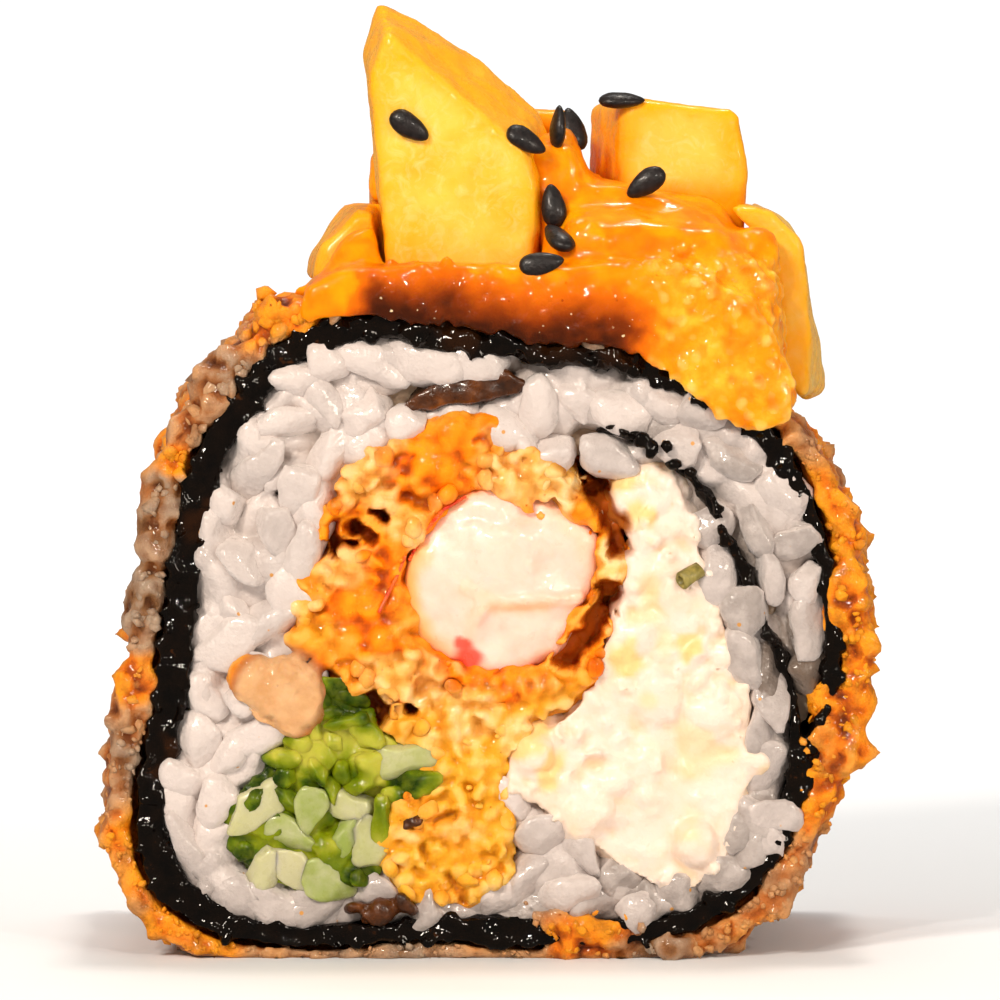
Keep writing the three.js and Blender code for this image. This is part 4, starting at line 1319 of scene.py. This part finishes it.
SEED_HALF = np.array([1.55, 0.84, 0.5])  # a seed's half length, width and thickness


def seeds(hosts):
    """Black sesame seeds, laid on whatever shows there from the front."""
    verts, faces = joined([(points_of(host) - SHIFT, triangles_of(host)) for host in hosts])
    tree = BVHTree.FromPolygons(verts.tolist(), faces.tolist())
    sight = Vector((0, 1, -np.tan(ELEVATION))).normalized()
    places, rotations = [], []
    for x, z, degrees, lies in SEEDS:
        dx, dz = np.cos(np.radians(degrees)), np.sin(np.radians(degrees))
        rays = [tree.ray_cast(Vector((x + k * dx, FRONT, z + k * dz)) - 20 * sight, sight) for k in (0, -1.1, 1.1)]
        hit, normal = rays[0][:2]
        if hit is None:
            hit, normal, _, _ = tree.find_nearest(Vector((x, -2, z)))
        # It lies in front of whatever its ends would otherwise sink into.
        front = min([hit.y] + [ray[0].y for ray in rays if ray[0] is not None])
        hit += sight * (max(front - hit.y, -8.0) / sight.y)
        up = (normal - 1.5 * sight if lies is None else Vector(lies)).normalized()
        across = Vector((dx, 0, dz))
        along = (across - up * across.dot(up)).normalized()
        places.append(np.array(hit + 0.3 * up))
        rotations.append(np.array([along, up.cross(along), up]).T)
    sizes = SEED_HALF * rng.uniform(0.94, 1.05, (len(SEEDS), 1))
    made, made_faces = copies(seed_template(), np.array(places), sizes, np.array(rotations))
    made += 0.03 * noise(made, 0.7, 44)[:, None]
    settle(mesh_of("sesame_seeds", made, made_faces), seed_paint(), "nori_sheet")


# ---- Studio ----


def studio():
    """A pale sweep for a floor, soft daylight and six lamps."""
    floor_paint = Paint("studio_floor", Roughness=0.6)
    tone = floor_paint.ramp(floor_paint.noise(60, 2), (0.3, (0.84, 0.88, 0.93)), (0.7, (0.86, 0.90, 0.95)))
    material = floor_paint.done(tone)
    front, turn, far, top = -1.2, 0.7, 1.2, 1.6
    bend = [(turn + (far - turn) * np.sin(a), (far - turn) * (1 - np.cos(a))) for a in np.linspace(0, np.pi / 2, 16)]
    profile = [(front, 0.0), *bend, (far, top)]
    verts = [(x, y, z) for y, z in profile for x in (-1.6, 1.6)]
    quads = np.array([[2 * i, 2 * i + 1, 2 * i + 3, 2 * i + 2] for i in range(len(profile) - 1)])
    floor = mesh_of("studio_sweep", np.array(verts) / MM, quads)
    floor.data.materials.append(material)
    floor.visible_glossy = False

    world = bpy.data.worlds.new("studio")
    bpy.context.scene.world = world
    world.use_nodes = True
    world.node_tree.nodes["Background"].inputs["Color"].default_value = (1.0, 0.88, 0.74, 1)
    world.node_tree.nodes["Background"].inputs["Strength"].default_value = 0.26

    roll = Vector((0, 0, 0.03))
    wall = Vector((0, 1.2, 0.3))
    for name, place, target, size, power, colour in (
        ("key", (-0.26, -0.42, 0.34), roll, 0.09, 2.05, (1.0, 0.89, 0.76)),
        ("fill", (0.42, -0.38, 0.20), roll, 0.12, 0.7, (1.0, 0.88, 0.74)),
        ("top", (0.05, 0.05, 0.50), roll, 0.07, 0.8, (1.0, 0.90, 0.78)),
        ("spark_left", (-0.14, -0.42, 0.26), roll, 0.014, 0.55, (1, 0.92, 0.82)),
        ("spark_right", (0.20, -0.42, 0.22), roll, 0.014, 0.45, (1, 0.92, 0.82)),
        ("backdrop", (0.0, 0.25, 0.75), wall, 0.60, 9.0, (1.0, 1.0, 1.0)),
    ):
        lamp = bpy.data.lights.new(name, "AREA")
        lamp.shape = "DISK"
        lamp.size = size
        lamp.energy = power
        lamp.color = colour
        holder = added(name, lamp)
        holder.location = place
        holder.rotation_euler = (target - Vector(place)).to_track_quat("-Z", "Y").to_euler()

    view = bpy.context.scene.view_settings
    view.view_transform = "Standard"
    view.look = "None"


FRAME_WIDTH = 66.67 * MM  # what the picture spans at the front cut face
AIM = (1.13, FRONT, 30.8)
ELEVATION = np.radians(4.0)
DISTANCE = 0.5


def camera():
    """The photo's view: from the front, and a little from above."""
    data = bpy.data.cameras.new("camera")
    data.sensor_width = 36
    data.lens = 36 * DISTANCE / FRAME_WIDTH
    data.clip_start = 0.01
    obj = added("camera", data)
    aim = Vector((AIM + SHIFT) * MM)
    back = Vector((0, -np.cos(ELEVATION), np.sin(ELEVATION)))
    obj.location = aim + DISTANCE * back
    obj.rotation_euler = (-back).to_track_quat("-Z", "Y").to_euler()
    bpy.context.scene.camera = obj


camera()
studio()
rice()
nori()
nori_fold()
coat()
batter()
shrimp()
cheese()
onion()
MANGO, GLAZED = mango_paint("mango", False), mango_paint("glazed_mango", True)
hosts = [mango(node, sauced) for node, sauced in SAUCED.items()]
hosts.append(glaze())
seeds(hosts)

bpy.context.view_layer.update()
